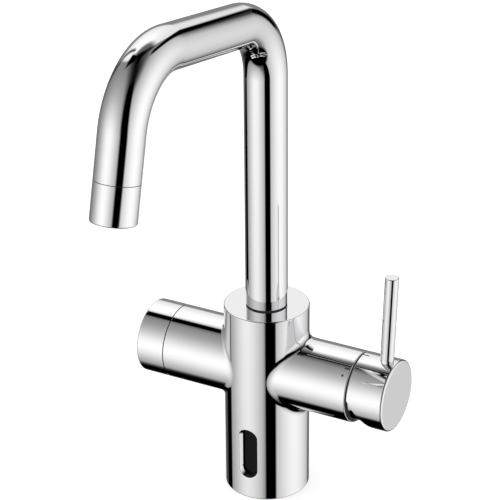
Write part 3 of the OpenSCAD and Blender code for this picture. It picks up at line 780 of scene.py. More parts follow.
def hand_over(
    piece: Piece, body: str, slot: str, stands_for: str = "", finish: Finish | None = None
) -> None:
    """Finishes a piece and lets it ride on its body.

    Args:
        piece: the finished mesh.
        body: the body that carries it.
        slot: the record's slot that it takes its finish from.
        stands_for: the solid that it replaces, if any.
        finish: the finish to wear where it isn't the slot's own.
    """
    wear_finish(piece, finish or FINISHES[slot])
    if stands_for:
        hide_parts(stands_for)
    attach(piece, body)
    Bench.clear()
    log.info("%s: %d faces on %s", piece.name, len(piece.data.polygons), body)


# Sub-assemblies


def seam_shade_ring(name: str, body: str, plan: Barrel, inner: float) -> None:
    """Models a dark ring that fills a seam's gap as painted shade and dresses it.

    Args:
        name: name of the ring.
        body: the body that carries it.
        plan: its outside.
        inner: radius of its hole.
    """
    # Painted shade: the dark ring with the rubber finish stands in for the shade inside the seam's gap.
    ring = Shape.bar(name, plan, sides=256)
    ring.bore(Barrel(plan.start - plan.axis * MM, plan.axis, inner, 3 * MM))
    hand_over(ring.polished(), body, "rubber")


@dataclass
class ArmFillet:
    """The soft inner corner between the upright body and an arm.

    A ball that rolls along the corner touches both barrels and grows towards the shallow corners at the
    front and back. The fillet is the skin that the ball leaves.

    Attributes:
        side: -1 for the left arm and 1 for the right arm.
        ball: radius of the ball on top of the arm.
        under_ball: its radius under the arm.
        side_ball: its radius at the front and back.
        side_power: how late the ball grows towards the front and back.
        sink: depth of the closing edge below the barrels.
    """

    name: str
    side: int
    arm_radius: float
    ball: float
    under_ball: float
    side_ball: float = 11.0 * MM
    side_power: float = 8.0
    sink: float = 0.3 * MM
    around: int = 384
    across: int = 12

    def section(self, angle: float) -> Section:
        """The points and normals of one cross-section.

        Args:
            angle: where the section lies, as an angle about the arm's axis.

        Returns:
            Points from the body to the arm with one sunk point that closes the section, and their normals.
        """
        ball = self.ball + (self.under_ball - self.ball) * (1 - math.cos(angle)) / 2
        ball += (self.side_ball - ball) * abs(math.sin(angle)) ** self.side_power
        reach = self.arm_radius + ball
        y, z = reach * math.sin(angle), reach * math.cos(angle)
        x = self.side * math.sqrt((BODY_RADIUS + ball) ** 2 - y * y)
        core = Vector((x, y, ARM_HEIGHT + z))
        to_body = Vector((x, y, 0)).normalized()
        to_arm = Vector((0, math.sin(angle), math.cos(angle)))
        normals = [to_body.slerp(to_arm, k / self.across) for k in range(self.across + 1)]
        points = [core - n * ball for n in normals]
        depth = self.arm_radius - self.sink
        sy, sz = depth * math.sin(angle), depth * math.cos(angle)
        sx = self.side * math.sqrt((BODY_RADIUS - self.sink) ** 2 - sy * sy)
        return points + [Vector((sx, sy, ARM_HEIGHT + sz))], normals

    def build(self) -> None:
        """Builds the closed ring and dresses it."""
        sections = [self.section(2 * math.pi * i / self.around) for i in range(self.around)]
        hand_over(loft_ring(self.name, sections, self.side > 0), "body", "chrome")


@dataclass
class WindowRim:
    """The bevel round the sensor window's slot, with a small rounding where it leaves the barrel.

    Attributes:
        edge: width of the bevel at the slot's sides, measured across the slot.
        end_share: how much narrower the bevel is at the slot's ends, as a share.
        soft_edge: radius of the rounding.
        floor: Y of the bevel's foot.
        tuck: how far the closing edge lies outside the bevel's outline.
    """

    half_width: float = 5.2 * MM
    half_height: float = 17.2 * MM
    middle: float = 34.0 * MM
    edge: float = 1.8 * MM
    end_share: float = 0.4
    soft_edge: float = 0.6 * MM
    floor: float = -25.2 * MM
    tuck: float = 0.1 * MM
    around: int = 256
    across: int = 8

    @property
    def spread(self) -> float:
        """How much wider than its centre line the rounding meets the barrel."""
        return BODY_RADIUS / (BODY_RADIUS - self.edge)

    def section(self, angle: float) -> Section:
        """The points and normals of one cross-section.

        Args:
            angle: where the section lies, as an angle round the slot.

        Returns:
            Points across the rounding and down the bevel with one that closes the section, and their normals.
        """
        out = Vector((math.sin(angle), 0, math.cos(angle)))
        straight = self.half_height - self.half_width
        base = Vector((0, 0, self.middle + math.copysign(straight, out.z)))
        rim = base + out * (self.half_width + self.edge)
        rim.x *= self.spread
        rim.y = -math.sqrt(BODY_RADIUS**2 - rim.x**2)
        face = Vector((rim.x, rim.y, 0)).normalized()
        foot = base + out * (self.half_width + self.edge * self.end_share * out.z**2) + BACK * self.floor
        start = rim
        for _ in range(4):
            slope = foot - start
            bevel = (BACK * slope.dot(out) - out * slope.y).normalized()
            start = rim + (bevel - face) * self.soft_edge
        normals = [face.slerp(bevel, k / self.across) for k in range(self.across + 1)]
        points = [rim + (n - face) * self.soft_edge for n in normals]
        under = rim + out * self.tuck
        under.y = self.floor
        return points + [foot, under], normals + [bevel]

    def build(self) -> None:
        """Builds the closed ring and dresses it."""
        sections = [self.section(2 * math.pi * (i + 0.5) / self.around) for i in range(self.around)]
        hand_over(loft_ring("window_rim", sections, True), "body", "chrome")


@dataclass
class Casing:
    """The upright body with its two arms and the sensor window's opening."""

    height: float = 136.0 * MM
    edge: float = 0.9 * MM
    foot_edge: float = 0.8 * MM
    left_reach: float = 66.3 * MM
    right_reach: float = 69.4 * MM
    left_edge: float = 0.4 * MM
    right_edge: float = 0.7 * MM
    cavity_radius: float = 24.5 * MM
    cavity_height: float = 60.0 * MM
    bearing_radius: float = 12.6 * MM
    bearing_depth: float = 14.0 * MM
    socket_radius: float = 11.0 * MM
    socket_depth: float = 32.0 * MM
    cartridge_radius: float = 18.03 * MM
    cartridge_floor: float = 41.95 * MM
    nut_radius: float = 20.0 * MM
    nut_floor: float = 61.7 * MM
    dome_seat_radius: float = 22.03 * MM
    dome_seat_floor: float = 67.0 * MM
    mixer_radius: float = 17.0 * MM
    mixer_floor: float = 34.0 * MM
    window_width: float = 12.0 * MM
    window_height: float = 36.0 * MM
    window_middle: float = 34.0 * MM
    window_depth: float = 5.6 * MM
    step_play: float = 0.02 * MM
    screw_radius: float = 2.53 * MM
    screw_heights: tuple[float, ...] = (7.0 * MM, 117.0 * MM)
    screw_start: float = 20.0 * MM
    screw_reach: float = 10.0 * MM

    def outer_form(self) -> Shape:
        """Fuses the upright and the arms.

        Returns:
            The fused form.
        """
        foot = Vector((0, 0, 0))
        body = Shape.bar("polished_body", Barrel(foot, UP, BODY_RADIUS, self.height), self.edge, 512)
        body.soften(RoundedRim(foot, -UP, BODY_RADIUS, self.foot_edge))
        for axis, radius, reach, edge in (
            (LEFT, LEFT_RADIUS, self.left_reach, self.left_edge),
            (RIGHT, RIGHT_RADIUS, self.right_reach, self.right_edge),
        ):
            arm = Shape.bar("arm", Barrel(on_axis(0), axis, radius, reach), edge)
            body.combine(arm.piece, Join.FUSE)
            body.surfaces += arm.surfaces
        return body

    def bores(self) -> Iterable[Barrel]:
        """Plans the round openings that show.

        Returns:
            The plan of each opening.
        """
        yield Barrel(Vector((0, 0, -MM)), UP, self.cavity_radius, self.cavity_height + MM)
        for radius, depth in (
            (self.bearing_radius, self.bearing_depth),
            (self.socket_radius, self.socket_depth),
        ):
            yield Barrel(Vector((0, 0, self.height - depth)), UP, radius, depth + MM)
        yield Barrel(on_axis(-self.mixer_floor), LEFT, self.mixer_radius, self.left_reach)
        for radius, floor in (
            (self.cartridge_radius, self.cartridge_floor),
            (self.nut_radius, self.nut_floor),
            (self.dome_seat_radius, self.dome_seat_floor),
        ):
            yield Barrel(on_axis(floor), RIGHT, radius, self.right_reach)
        for height in self.screw_heights:
            yield Barrel(Vector((0, self.screw_start, height)), BACK, self.screw_radius, self.screw_reach)

    def window_cutter(self, grow: float, depth: float) -> tuple[Piece, list[RoundSurface]]:
        """Makes the upright slot of the sensor window by pulling a cylinder's two halves apart.

        Args:
            grow: how much wider than the window on every side.
            depth: depth below the body's front line.

        Returns:
            The cutter and the slot's round ends.
        """
        start = Vector((0, -BODY_RADIUS - MM, self.window_middle))
        radius = self.window_width / 2
        cutter = Bench.rod("window_cutter", Barrel(start, BACK, radius + grow, depth + MM), 128)
        shift = (self.window_height - self.window_width) / 2
        ends: list[RoundSurface] = []
        for way in (-1, 1):
            Bench.pick_edges(cutter, lambda p, w=way: (p.z - self.window_middle) * w > HAIR)
            bpy.ops.mesh.select_mode(type="VERT")
            bpy.ops.transform.translate(value=(0, 0, way * shift))
            bpy.ops.object.mode_set(mode="OBJECT")
            ends.append(Barrel(start + Vector((0, 0, way * shift)), BACK, radius, hollow=True))
        return cutter, ends

    def build(self) -> None:
        """Models the casing and dresses it."""
        body = self.outer_form()
        for hole in self.bores():
            body.bore(hole)
        cutter, ends = self.window_cutter(0.0, self.window_depth)
        body.combine(cutter, Join.CUT)
        rim = WindowRim()
        grow = rim.half_width + rim.edge - self.window_width / 2
        step, _ = self.window_cutter(grow, BODY_RADIUS + rim.floor - self.step_play)
        step.scale.x = rim.spread
        body.combine(Bench.settle(step), Join.CUT)
        body.surfaces += ends
        piece = body.polished()
        rim.build()
        hand_over(piece, "body", "chrome", "body_casting")
        ArmFillet("left_arm_fillet", -1, LEFT_RADIUS, 3.0 * MM, 3.0 * MM).build()
        ArmFillet("right_arm_fillet", 1, RIGHT_RADIUS, 4.5 * MM, 7.5 * MM).build()


@dataclass
class SpoutPath:
    """The centre line of the spout, from its foot to the end of its tube."""

    foot: float = 137.0 * MM
    rise: float = 161.0 * MM
    bend: float = 45.0 * MM
    rear_deg: float = 80.0
    run: float = 84.0 * MM
    front_deg: float = 86.0
    drop: float = 27.8 * MM

    def __post_init__(self) -> None:
        """Walks along the path and keeps the points where its form changes."""
        self.turn_deg = self.rear_deg + self.front_deg
        self.rear_centre = Vector((0, 0, self.foot + self.rise)) + self.inward(0) * self.bend
        rear_end = self.rear_centre - self.inward(self.rear_deg) * self.bend
        self.front_start = rear_end + self.heading(self.rear_deg) * self.run
        self.front_centre = self.front_start + self.inward(self.rear_deg) * self.bend
        drop_start = self.front_centre - self.inward(self.turn_deg) * self.bend
        self.tube_end = drop_start + self.heading(self.turn_deg) * self.drop

    @staticmethod
    def heading(angle_deg: float) -> Vector:
        """The direction of travel after turning by an angle from upright to the front."""
        a = math.radians(angle_deg)
        return Vector((0, -math.sin(a), math.cos(a)))

    @staticmethod
    def inward(angle_deg: float) -> Vector:
        """The direction to the bend's centre at that heading."""
        a = math.radians(angle_deg)
        return Vector((0, -math.cos(a), -math.sin(a)))


@dataclass
class Spout:
    """The bent spout tube and the sleeve that holds the aerator."""

    path: SpoutPath = field(default_factory=SpoutPath)
    radius: float = 14.0 * MM
    wall: float = 2.0 * MM
    sides: int = 192
    rear_steps: int = 80
    front_steps: int = 86
    sleeve_seam: float = 0.4 * MM
    sleeve_length: float = 24.0 * MM
    sleeve_edge: float = 1.2 * MM
    mouth_radius: float = 10.8 * MM
    insert_radius: float = 11.83 * MM
    lip: float = 2.0 * MM
    # Outer and inner radius of the dark ring that paints the shade in the seam before the sleeve.
    ring_radius: float = 13.2 * MM
    bush_radius: float = 12.32 * MM

    def tube(self) -> Piece:
        """Draws a ring along the path by extruding the straights and spinning the bends.

        Returns:
            The tube.
        """
        path = self.path
        up, over, down = (path.heading(angle) for angle in (0, path.rear_deg, path.turn_deg))
        Bench.clear()
        bpy.ops.mesh.primitive_circle_add(
            vertices=self.sides, radius=self.radius, location=(0, 0, path.foot), fill_type="NOTHING"
        )
        piece = Bench.named("polished_spout")
        bpy.ops.object.mode_set(mode="EDIT")
        bpy.ops.mesh.select_mode(type="EDGE")
        bpy.ops.mesh.select_all(action="SELECT")
        Bench.pull(up * path.rise)
        Bench.turn(path.rear_centre, path.rear_deg, self.rear_steps)
        Bench.pull(over * path.run)
        Bench.turn(path.front_centre, path.front_deg, self.front_steps)
        Bench.pull(down * path.drop)
        bpy.ops.mesh.select_all(action="SELECT")
        bpy.ops.mesh.remove_doubles(threshold=HAIR)
        bpy.ops.mesh.normals_make_consistent(inside=False)
        bpy.ops.object.mode_set(mode="OBJECT")
        Bench.thicken(piece, self.wall)
        return Shape(
            piece,
            Barrel(Vector((0, 0, path.foot)), up, self.radius),
            Elbow(path.rear_centre, RIGHT, path.bend, self.radius),
            Barrel(path.front_start, over, self.radius),
            Elbow(path.front_centre, RIGHT, path.bend, self.radius),
            Barrel(path.tube_end, down, self.radius),
        ).polished()

    def sleeve(self) -> Piece:
        """Models the aerator's sleeve with its rounded lip and stepped bore.

        Returns:
            The sleeve.
        """
        along = self.path.heading(self.path.turn_deg)
        start = self.path.tube_end + along * self.sleeve_seam
        plan = Barrel(start, along, self.radius, self.sleeve_length)
        sleeve = Shape.bar("polished_sleeve", plan, self.sleeve_edge, 256)
        inner = self.sleeve_length - self.lip
        sleeve.bore(Barrel(start - along * MM, along, self.insert_radius, inner + MM))
        sleeve.bore(Barrel(start + along * inner / 2, along, self.mouth_radius, self.sleeve_length))
        return sleeve.polished()

    def build(self) -> None:
        """Models the spout and dresses it."""
        along = self.path.heading(self.path.turn_deg)
        # Painted shade: a dark ring fills the seam between the tube and the sleeve, standing in for the shade
        # in the gap.
        seam = Barrel(self.path.tube_end, along, self.ring_radius, self.sleeve_seam)
        seam_shade_ring("seam_ring", "spout", seam, self.bush_radius)
        hand_over(self.tube(), "spout", "chrome", "spout_tube")
        hand_over(self.sleeve(), "spout", "chrome", "aerator_sleeve")


@dataclass
class Lever:
    """The hub with its relief cut, the rod and the dome behind the hub. Places are along the arm's axis."""

    pivot: float = 70.0 * MM
    hub_start: float = 70.6 * MM
    hub_length: float = 25.4 * MM
    hub_edge: float = 1.7 * MM
    hub_near_edge: float = 0.5 * MM
    hollow_radius: float = 22.5 * MM
    cut_start: float = 2.2 * MM
    cut_deg: float = 33.0
    boss_radius: float = 6.8 * MM
    boss_start: float = 80.5 * MM
    boss_inset: float = 2.0 * MM
    stem_inset: float = 2.5 * MM
    screw_inset: float = 5.0 * MM
    dome_radius: float = 22.0 * MM
    dome_wall: float = 1.4 * MM
    dome_foot: float = 67.05 * MM
    dome_rim: float = 84.0 * MM
    # Place and size of the dark ring that paints the shade in the seam before the hub.
    seal_start: float = 69.42 * MM
    seal_length: float = 0.85 * MM
    seal_radius: float = 23.5 * MM
    seal_play: float = 0.05 * MM
    stem_width: float = 7.1 * MM
    screw_radius: float = 2.03 * MM
    rod_radius: float = 4.5 * MM
    rod_length: float = 61.3 * MM
    rod_place: float = 88.3 * MM
    rod_lean_deg: float = 2.0
    rod_seat: float = 3.0 * MM
    rod_edge: float = 0.9 * MM

    def hub(self) -> Piece:
        """Models the hub, its hollow and the slanted cut that lets it tip.

        Returns:
            The hub.
        """
        near, end = on_axis(self.hub_start), self.hub_start + self.hub_length
        hub = Shape.bar("polished_hub", Barrel(near, RIGHT, RIGHT_RADIUS, self.hub_length), self.hub_edge)
        hub.soften(RoundedRim(near, -RIGHT, RIGHT_RADIUS, self.hub_near_edge))
        hollow = Ball(on_axis(self.pivot), self.hollow_radius, True)
        hub.combine(Bench.ball("cutter", hollow, RIGHT), Join.CUT)
        hub.surfaces.append(hollow)
        hub.combine(self.relief_wedge(), Join.CUT)
        boss_length = end - self.boss_start - self.boss_inset
        boss = Barrel(on_axis(self.boss_start), RIGHT, self.boss_radius, boss_length)
        hub.combine(Bench.rod("boss", boss, 96), Join.FUSE)
        hub.surfaces.append(boss)
        hub.square_hole(on_axis(self.boss_start - MM), on_axis(end - self.stem_inset), self.stem_width)
        screw = on_axis(end - self.screw_inset)
        hub.bore(Barrel(screw, -UP, self.screw_radius, RIGHT_RADIUS + MM), 64)
        return hub.polished()

    def relief_wedge(self) -> Piece:
        """Makes the block whose face is the slanted cut below the hub.

        Returns:
            The block.
        """
        size = 2 * RIGHT_RADIUS
        top = self.cut_start / math.tan(math.radians(self.cut_deg))
        wedge = Bench.block("wedge", Vector((-size, -size, -size)), Vector((0, size, top)))
        wedge.rotation_euler = (0, -math.radians(self.cut_deg), 0)
        wedge.location = on_axis(self.pivot + self.cut_start)
        return Bench.settle(wedge)

    def dome(self) -> Piece:
        """Models the dome from a sphere that is cut twice and pulled out into a short collar.

        Returns:
            The dome.
        """
        pivot = on_axis(self.pivot)
        form = Ball(pivot, self.dome_radius)
        piece = Bench.ball("polished_dome", form, RIGHT)
        Bench.slice(piece, on_axis(self.dome_rim), RIGHT)
        Bench.slice(piece, pivot, -RIGHT)
        Bench.pick_edges(piece, lambda p: abs(p.x - self.pivot) < HAIR)
        Bench.pull(Vector((self.dome_foot - self.pivot, 0, 0)))
        bpy.ops.object.mode_set(mode="OBJECT")
        Bench.thicken(piece, self.dome_wall)
        return Shape(
            piece,
            form,
            Barrel(pivot, RIGHT, self.dome_radius),
            Ball(pivot, self.dome_radius - self.dome_wall, True),
        ).polished()

    def rod(self) -> Piece:
        """Models the leaning rod.

        Returns:
            The rod.
        """
        lean = math.radians(self.rod_lean_deg)
        along = Vector((math.sin(lean), 0, math.cos(lean)))
        start = Vector((self.rod_place, 0, ARM_HEIGHT + RIGHT_RADIUS)) - along * self.rod_seat
        plan = Barrel(start, along, self.rod_radius, self.rod_length + self.rod_seat)
        return Shape.bar("polished_rod", plan, self.rod_edge, 128).polished()

    def build(self) -> None:
        """Models the lever's parts and dresses them."""
        hand_over(self.hub(), "lever", "chrome", "lever_hub")
        hand_over(self.rod(), "lever", "chrome", "lever_rod")
        hand_over(self.dome(), "body", "chrome", "cover_dome")
        # Painted shade: a dark ring fills the seam between the right arm and the hub, standing in for the
        # shade in the gap.
        seam = Barrel(on_axis(self.seal_start), RIGHT, self.seal_radius, self.seal_length)
        seam_shade_ring("hub_seal", "body", seam, self.dome_radius + self.seal_play)


@dataclass
class Knob:
    """The temperature knob at the end of the left arm. Places are distances from the middle of the body."""

    start: float = 66.75 * MM
    length: float = 20.3 * MM
    edge: float = 1.2 * MM
    wall: float = 3.0 * MM
    end_wall: float = 4.0 * MM
    boss_radius: float = 9.0 * MM
    boss_start: float = 72.05 * MM
    boss_sink: float = 0.5 * MM
    spindle_width: float = 7.1 * MM
    spindle_inset: float = 0.75 * MM
    screw_place: float = 4.0 * MM
    screw_radius: float = 2.03 * MM

    def build(self) -> None:
        """Models the hollow knob and dresses it."""
        near = on_axis(-self.start)
        knob = Shape.bar("polished_knob", Barrel(near, LEFT, LEFT_RADIUS, self.length), self.edge)
        depth = self.length - self.end_wall
        knob.bore(Barrel(near - LEFT * MM, LEFT, LEFT_RADIUS - self.wall, depth + MM), 256)
        floor, foot = self.start + depth, on_axis(-self.boss_start)
        boss = Barrel(foot, LEFT, self.boss_radius, floor + self.boss_sink - self.boss_start)
        knob.combine(Bench.rod("boss", boss, 128), Join.FUSE)
        knob.surfaces.append(boss)
        knob.square_hole(on_axis(self.spindle_inset - floor), foot - LEFT * MM, self.spindle_width)
        screw = foot + LEFT * self.screw_place
        knob.bore(Barrel(screw, -UP, self.screw_radius, LEFT_RADIUS + MM), 64)
        hand_over(knob.polished(), "knob", "chrome", "temperature_knob")


@dataclass
class Mark:
    """A thin dark inlay on the right arm or the hub.

    Attributes:
        low: its lowest corner before it is trimmed to the surface.
        high: its highest corner.
        dot: True for a round mark.
        proud: height above the surface.
        sunk: depth below the surface.
        reach: how far the tool of a round mark goes to both sides of the surface.
    """

    name: str
    body: str
    low: Vector
    high: Vector
    dot: bool = False
    proud: float = 0.03 * MM
    sunk: float = 0.1 * MM
    reach: float = 3.0 * MM
    sides: int = 1024

    def tool(self) -> Piece:
        """Makes the block or pin that the tube is trimmed to.

        Returns:
            The block or pin.
        """
        if not self.dot:
            return Bench.block("tool", self.low, self.high)
        middle, radius = (self.low + self.high) / 2, (self.high.x - self.low.x) / 2
        away = Vector((0, middle.y, middle.z - ARM_HEIGHT)).normalized()
        return Bench.rod("tool", Barrel(middle - away * self.reach, away, radius, 2 * self.reach), 64)

    def build(self) -> None:
        """Cuts the mark out of a thin tube and dresses it."""
        start = on_axis(self.low.x - MM)
        length = self.high.x - self.low.x + 2 * MM
        mark = Shape.bar(self.name, Barrel(start, RIGHT, RIGHT_RADIUS + self.proud, length), sides=self.sides)
        inside = Barrel(start - RIGHT * MM, RIGHT, RIGHT_RADIUS - self.sunk, length + 2 * MM)
        mark.bore(inside, self.sides)
        mark.combine(self.tool(), Join.TRIM)
        hand_over(mark.polished(), self.body, "black_plastic", finish=ENGRAVED)


def dress_inner_pieces(nodes: dict[str, Piece], record: dict) -> None:
    """Gives every solid the finish of its slot.

    Args:
        nodes: the frame's solids by name.
        record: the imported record.
    """
    for part in record["subparts"]:
        wear_finish(nodes[part["node"]], FINISHES[part["material_slot"]])
        log.info("%s wears %s", part["node"], part["material_slot"])


# Studio


def towards(azimuth: float, elevation: float) -> Vector:
    """The direction at an azimuth from -Y towards +X and an elevation, in degrees."""
    a, e = math.radians(azimuth), math.radians(elevation)
    return Vector((math.sin(a) * math.cos(e), -math.cos(a) * math.cos(e), math.sin(e)))


@dataclass(frozen=True)
class SoftBox:
    """A large diffuser far away in the studio, brightest where its lamp stands behind it.

    Attributes:
        azimuth: where its middle stands, in degrees from -Y towards +X.
        elevation: elevation of its middle, in degrees.
        roll: its turn about its own axis, in degrees.
        width: half its width as seen from the part, as a sine.
        height: half its height as seen from the part, as a sine.
        square: 2 for an oval outline, more for a squarer one.
        soft: softness of its edge.
        lamp_azimuth: azimuth of its lamp.
        lamp_elevation: elevation of its lamp.
        spread: spread of the lamp's glow.
        bright: light at the lamp.
        dim: light far from the lamp.
    """

    azimuth: float
    elevation: float
    roll: float
    width: float
    height: float
    square: float
    soft: float
    lamp_azimuth: float
    lamp_elevation: float
    spread: float
    bright: float
    dim: float

    NUMBERS = ("square", "soft", "spread", "bright", "dim")
    FADE_BEHIND = -4.0

    @classmethod
    def group(cls) -> bpy.types.NodeTree:
        """Builds the diffusers' node group.

        Returns:
            The group, which gives a diffuser's light in a direction.
        """
        vectors = ("direction", "toward", "across", "upward", "lamp")
        wires = GroupWires("soft_box", vectors, dict.fromkeys(cls.NUMBERS, 0.0), ("Light",))
        calc = wires.math
        direction, toward, across, upward, lamp, square, soft, spread, bright, dim = list(wires.given)[:10]
        parts = (
            calc("POWER", calc("ABSOLUTE", wires.dot(direction, way)), square) for way in (across, upward)
        )
        away = calc("POWER", calc("ADD", *parts), calc("DIVIDE", 1.0, square))
        behind = calc("MAXIMUM", calc("MULTIPLY", wires.dot(direction, toward), cls.FADE_BEHIND), 0.0)
        cover = wires.step(calc("SUBTRACT", calc("SUBTRACT", 1.0, away), behind), soft)
        apart = calc("SUBTRACT", 1.0, wires.dot(direction, lamp))
        wide = calc("MULTIPLY", spread, spread)
        fall = calc("EXPONENT", calc("DIVIDE", calc("MULTIPLY", apart, -2.0), wide))
        light = calc("ADD", calc("MULTIPLY", calc("SUBTRACT", bright, dim), fall), dim)
        return wires.give({"Light": calc("MULTIPLY", light, cover)})

    def values(self) -> dict[str, object]:
        """Works out this diffuser's directions.

        Returns:
            The values of the group's inputs.
        """
        toward = towards(self.azimuth, self.elevation)
        level = Vector((-toward.y, toward.x, 0)).normalized()
        upright = toward.cross(level)
        if upright.z < 0:
            upright = -upright
        roll = math.radians(self.roll)
        across = level * math.cos(roll) + upright * math.sin(roll)
        upward = upright * math.cos(roll) - level * math.sin(roll)
        return {
            "toward": toward,
            "across": across / self.width,
            "upward": upward / self.height,
            "lamp": towards(self.lamp_azimuth, self.lamp_elevation),
            **{label: getattr(self, label) for label in self.NUMBERS},
        }


@dataclass(frozen=True)
class Flag:
    """A dark or grey card in front of the diffusers.

    Attributes:
        middle: azimuth of its middle at the horizon, in degrees from -Y towards +X.
        width: half its width, in degrees.
        low: elevation of its lower edge, in degrees.
        high: elevation of its upper edge, in degrees.
        soft: softness of its edges, in degrees.
        lean: shift of its middle per degree of elevation.
        passing: share of the light that the card lets through.
    """

    middle: float
    width: float
    low: float
    high: float
    soft: float
    lean: float = 0.0
    passing: float = 0.0

    @classmethod
    def group(cls) -> bpy.types.NodeTree:
        """Builds the cards' node group.

        Returns:
            The group, which gives the share of light that passes a card.
        """
        labels = ["azimuth", "elevation", *(entry.name for entry in fields(cls))]
        wires = GroupWires("flag", (), dict.fromkeys(labels, 0.0), ("Light",))
        calc = wires.math
        azimuth, elevation, at_horizon, width, low, high, soft, lean, passing = list(wires.given)[:9]
        middle = calc("MULTIPLY_ADD", elevation, lean, at_horizon)
        turn = calc("WRAP", calc("SUBTRACT", azimuth, middle), 180.0, -180.0)
        across = wires.step(calc("SUBTRACT", width, calc("ABSOLUTE", turn)), soft)
        above = wires.step(calc("SUBTRACT", elevation, low), soft)
        under = wires.step(calc("SUBTRACT", high, elevation), soft)
        cover = calc("MULTIPLY", calc("MULTIPLY", across, above), under)
        held = calc("MULTIPLY", cover, calc("SUBTRACT", 1.0, passing))
        return wires.give({"Light": calc("SUBTRACT", 1.0, held)})


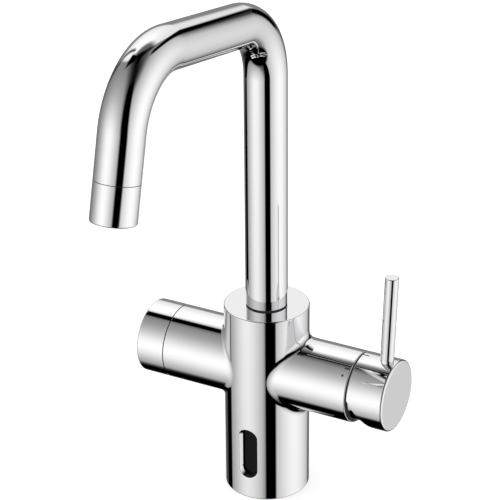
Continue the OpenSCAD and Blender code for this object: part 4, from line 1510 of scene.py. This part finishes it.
@dataclass
class Studio:
    """The floor, the lamp, the camera and the room of diffusers and cards that the chrome mirrors.

    Attributes:
        dull_light: what lights everything that is no mirror.
        floor_glow: the floor's own light for the eye, which makes it as white as the room.
        lens: focal length and width of the sensor, in millimetres.
        clip: nearest and farthest distance that the camera sees.
        camera_axes: its right, up and backward directions.
    """

    boxes: tuple[SoftBox, ...] = (
        SoftBox(-44.6, 1.4, -23.5, 0.97, 0.93, 1.9, 0.17, -27.0, -8.0, 0.76, 1.08, 0.20),
        SoftBox(105.0, -4.5, 24.4, 0.88, 0.90, 2.7, 0.23, 108.0, -10.9, 1.15, 1.07, 0.0),
        SoftBox(-151.0, 33.0, -6.4, 0.62, 0.68, 2.4, 0.12, -133.0, 55.0, 0.50, 1.15, 0.79),
        SoftBox(-152.0, -19.1, -49.1, 0.47, 0.54, 8.0, 0.80, -150.0, -23.0, 0.31, 0.89, 0.41),
    )
    flags: tuple[Flag, ...] = (
        Flag(40.5, 16.5, -8.4, 58.0, 8.5, -0.05),
        Flag(34.0, 14.5, -86.8, -6.0, 5.5, -0.12),
        Flag(-115.0, 2.7, 1.9, 52.2, 6.5, 0.0),
        Flag(-97.5, 12.5, -69.5, -20.3, 5.5, 0.03),
        Flag(195.0, 8.5, 17.0, 62.0, 5.0, -1.1),
        Flag(176.0, 8.5, -12.0, 19.0, 5.0),
        Flag(-93.0, 15.0, 52.0, 76.0, 8.0),
        Flag(-160.0, 54.0, 62.0, 110.0, 12.0, 0.0, 0.13),
        Flag(-151.4, 34.0, -57.0, 13.0, 9.0, 0.0, 0.3),
        Flag(-100.0, 190.0, -95.0, -61.0, 8.0),
        Flag(-125.0, 22.0, -95.0, -48.0, 8.0),
    )
    dull_light: float = 0.9
    floor_size: float = 40.0
    floor_glow: float = 0.45
    lamp_size: float = 1.6
    lamp_power: float = 6.0
    lamp_place: tuple[float, ...] = (-0.8, -0.6, 2.2)
    lamp_aim: tuple[float, ...] = (0, 0, 0.15)
    lens: tuple[float, float] = (155.33, 36.0)
    clip: tuple[float, float] = (0.01, 100.0)
    camera_place: tuple[float, ...] = (0.595247, -1.114263, 0.801465)
    camera_axes: tuple[tuple[float, ...], ...] = (
        (0.87979555, 0.47528968, -0.00771426),
        (-0.20513447, 0.39425835, 0.89581259),
        (0.42881189, -0.78654947, 0.44436504),
    )

    def room(self, wires: Wires) -> Socket:
        """Wires the light of the diffusers and cards by direction.

        Args:
            wires: the world's wires.

        Returns:
            The light that a mirror sees.
        """
        place = wires.node("ShaderNodeTexCoord")["Generated"]
        split = wires.node("ShaderNodeSeparateXYZ", {"Vector": place})
        front = wires.math("MULTIPLY", split["Y"], -1.0)
        azimuth = wires.math("DEGREES", wires.math("ARCTAN2", split["X"], front))
        elevation = wires.math("DEGREES", wires.math("ARCSINE", split["Z"]))
        box_group, flag_group = SoftBox.group(), Flag.group()
        light: object = 0.0
        for box in self.boxes:
            seen = wires.group(box_group, {"direction": place, **box.values()})
            light = wires.math("MAXIMUM", light, seen[0])
        for flag in self.flags:
            passed = wires.group(flag_group, {"azimuth": azimuth, "elevation": elevation, **asdict(flag)})
            light = wires.math("MULTIPLY", light, passed[0])
        return light

    def world(self) -> None:
        """Builds the white room: plain for the eye and the floor, with diffusers for the chrome."""
        world = bpy.data.worlds.new("white_room")
        bpy.context.scene.world = world
        world.use_nodes = True
        world.node_tree.nodes.clear()
        wires = Wires(world.node_tree)
        path = wires.node("ShaderNodeLightPath")
        dull, mirrored, seen = (
            wires.node("ShaderNodeBackground", {"Color": colour})[0]
            for colour in ((*[self.dull_light] * 3, 1.0), self.room(wires), (1.0, 1.0, 1.0, 1.0))
        )
        shown = wires.blend(path["Is Glossy Ray"], dull, mirrored)
        shown = wires.blend(path["Is Camera Ray"], shown, seen)
        wires.node("ShaderNodeOutputWorld", {"Surface": shown})

    def floor(self) -> None:
        """Adds the pale floor, which keeps the soft shadow and lets the chrome see the room."""
        Bench.clear()
        bpy.ops.mesh.primitive_plane_add(size=self.floor_size, location=(0, 0, 0))
        floor = bpy.context.object
        floor.name = "pale_floor"
        constants = {"Base Color": (0.8, 0.8, 0.8, 1), "Roughness": 0.9, "Specular IOR Level": 0.0}
        surface, wires, shader = new_material("pale_floor", constants)
        path = wires.node("ShaderNodeLightPath")
        strength = wires.math("MULTIPLY", path["Is Camera Ray"], self.floor_glow)
        glow = wires.node("ShaderNodeEmission", {"Strength": strength})
        both = wires.node("ShaderNodeAddShader", {0: shader.outputs[0], 1: glow[0]})
        gone = wires.node("ShaderNodeBsdfTransparent")
        shown = wires.blend(path["Is Glossy Ray"], both[0], gone[0])
        wires.feed(surface.node_tree.nodes["Material Output"].inputs["Surface"], shown)
        floor.data.materials.append(surface)

    def camera(self) -> None:
        """Sets the camera at the photograph's angle."""
        lens = bpy.data.cameras.new("photo_camera")
        lens.lens, lens.sensor_width = self.lens
        lens.sensor_fit = "HORIZONTAL"
        lens.clip_start, lens.clip_end = self.clip
        camera = bpy.data.objects.new("photo_camera", lens)
        bpy.context.scene.collection.objects.link(camera)
        turn = Matrix(self.camera_axes).transposed().to_4x4()
        camera.matrix_world = Matrix.Translation(self.camera_place) @ turn
        bpy.context.scene.camera = camera

    def key_light(self) -> None:
        """Adds the large soft lamp above."""
        lamp = bpy.data.lights.new("soft_lamp", "AREA")
        lamp.shape, lamp.size, lamp.size_y = "RECTANGLE", self.lamp_size, self.lamp_size
        lamp.energy = self.lamp_power
        holder = bpy.data.objects.new("soft_lamp", lamp)
        holder.location = self.lamp_place
        aim = Vector(self.lamp_aim) - Vector(self.lamp_place)
        holder.rotation_euler = aim.to_track_quat("-Z", "Y").to_euler()
        holder.visible_glossy = False
        bpy.context.scene.collection.objects.link(holder)

    def build(self) -> None:
        """Sets up the whole studio."""
        self.world()
        self.floor()
        self.key_light()
        self.camera()
        bpy.context.scene.view_settings.view_transform = "Standard"


MARKS = (
    Mark("lever_index", "lever", Vector((0.0709, -0.0001, 0.112)), Vector((0.0755, 0.0009, 0.1155))),
    Mark("scale_tick", "body", Vector((0.0648, -0.0146, 0.108)), Vector((0.0685, -0.0136, 0.112))),
    Mark("scale_dot", "body", Vector((0.0642, -0.0188, 0.1059)), Vector((0.0658, -0.0172, 0.1075)), True),
)


def main() -> None:
    """Builds every sub-assembly, dresses the inner pieces and sets up the studio."""
    logging.basicConfig(level=logging.INFO, format="%(message)s")
    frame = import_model()
    Studio().build()
    dress_inner_pieces(frame["nodes"], frame["record"])
    for assembly in (Casing(), Spout(), Lever(), Knob(), *MARKS):
        assembly.build()


if __name__ == "__main__":
    main()
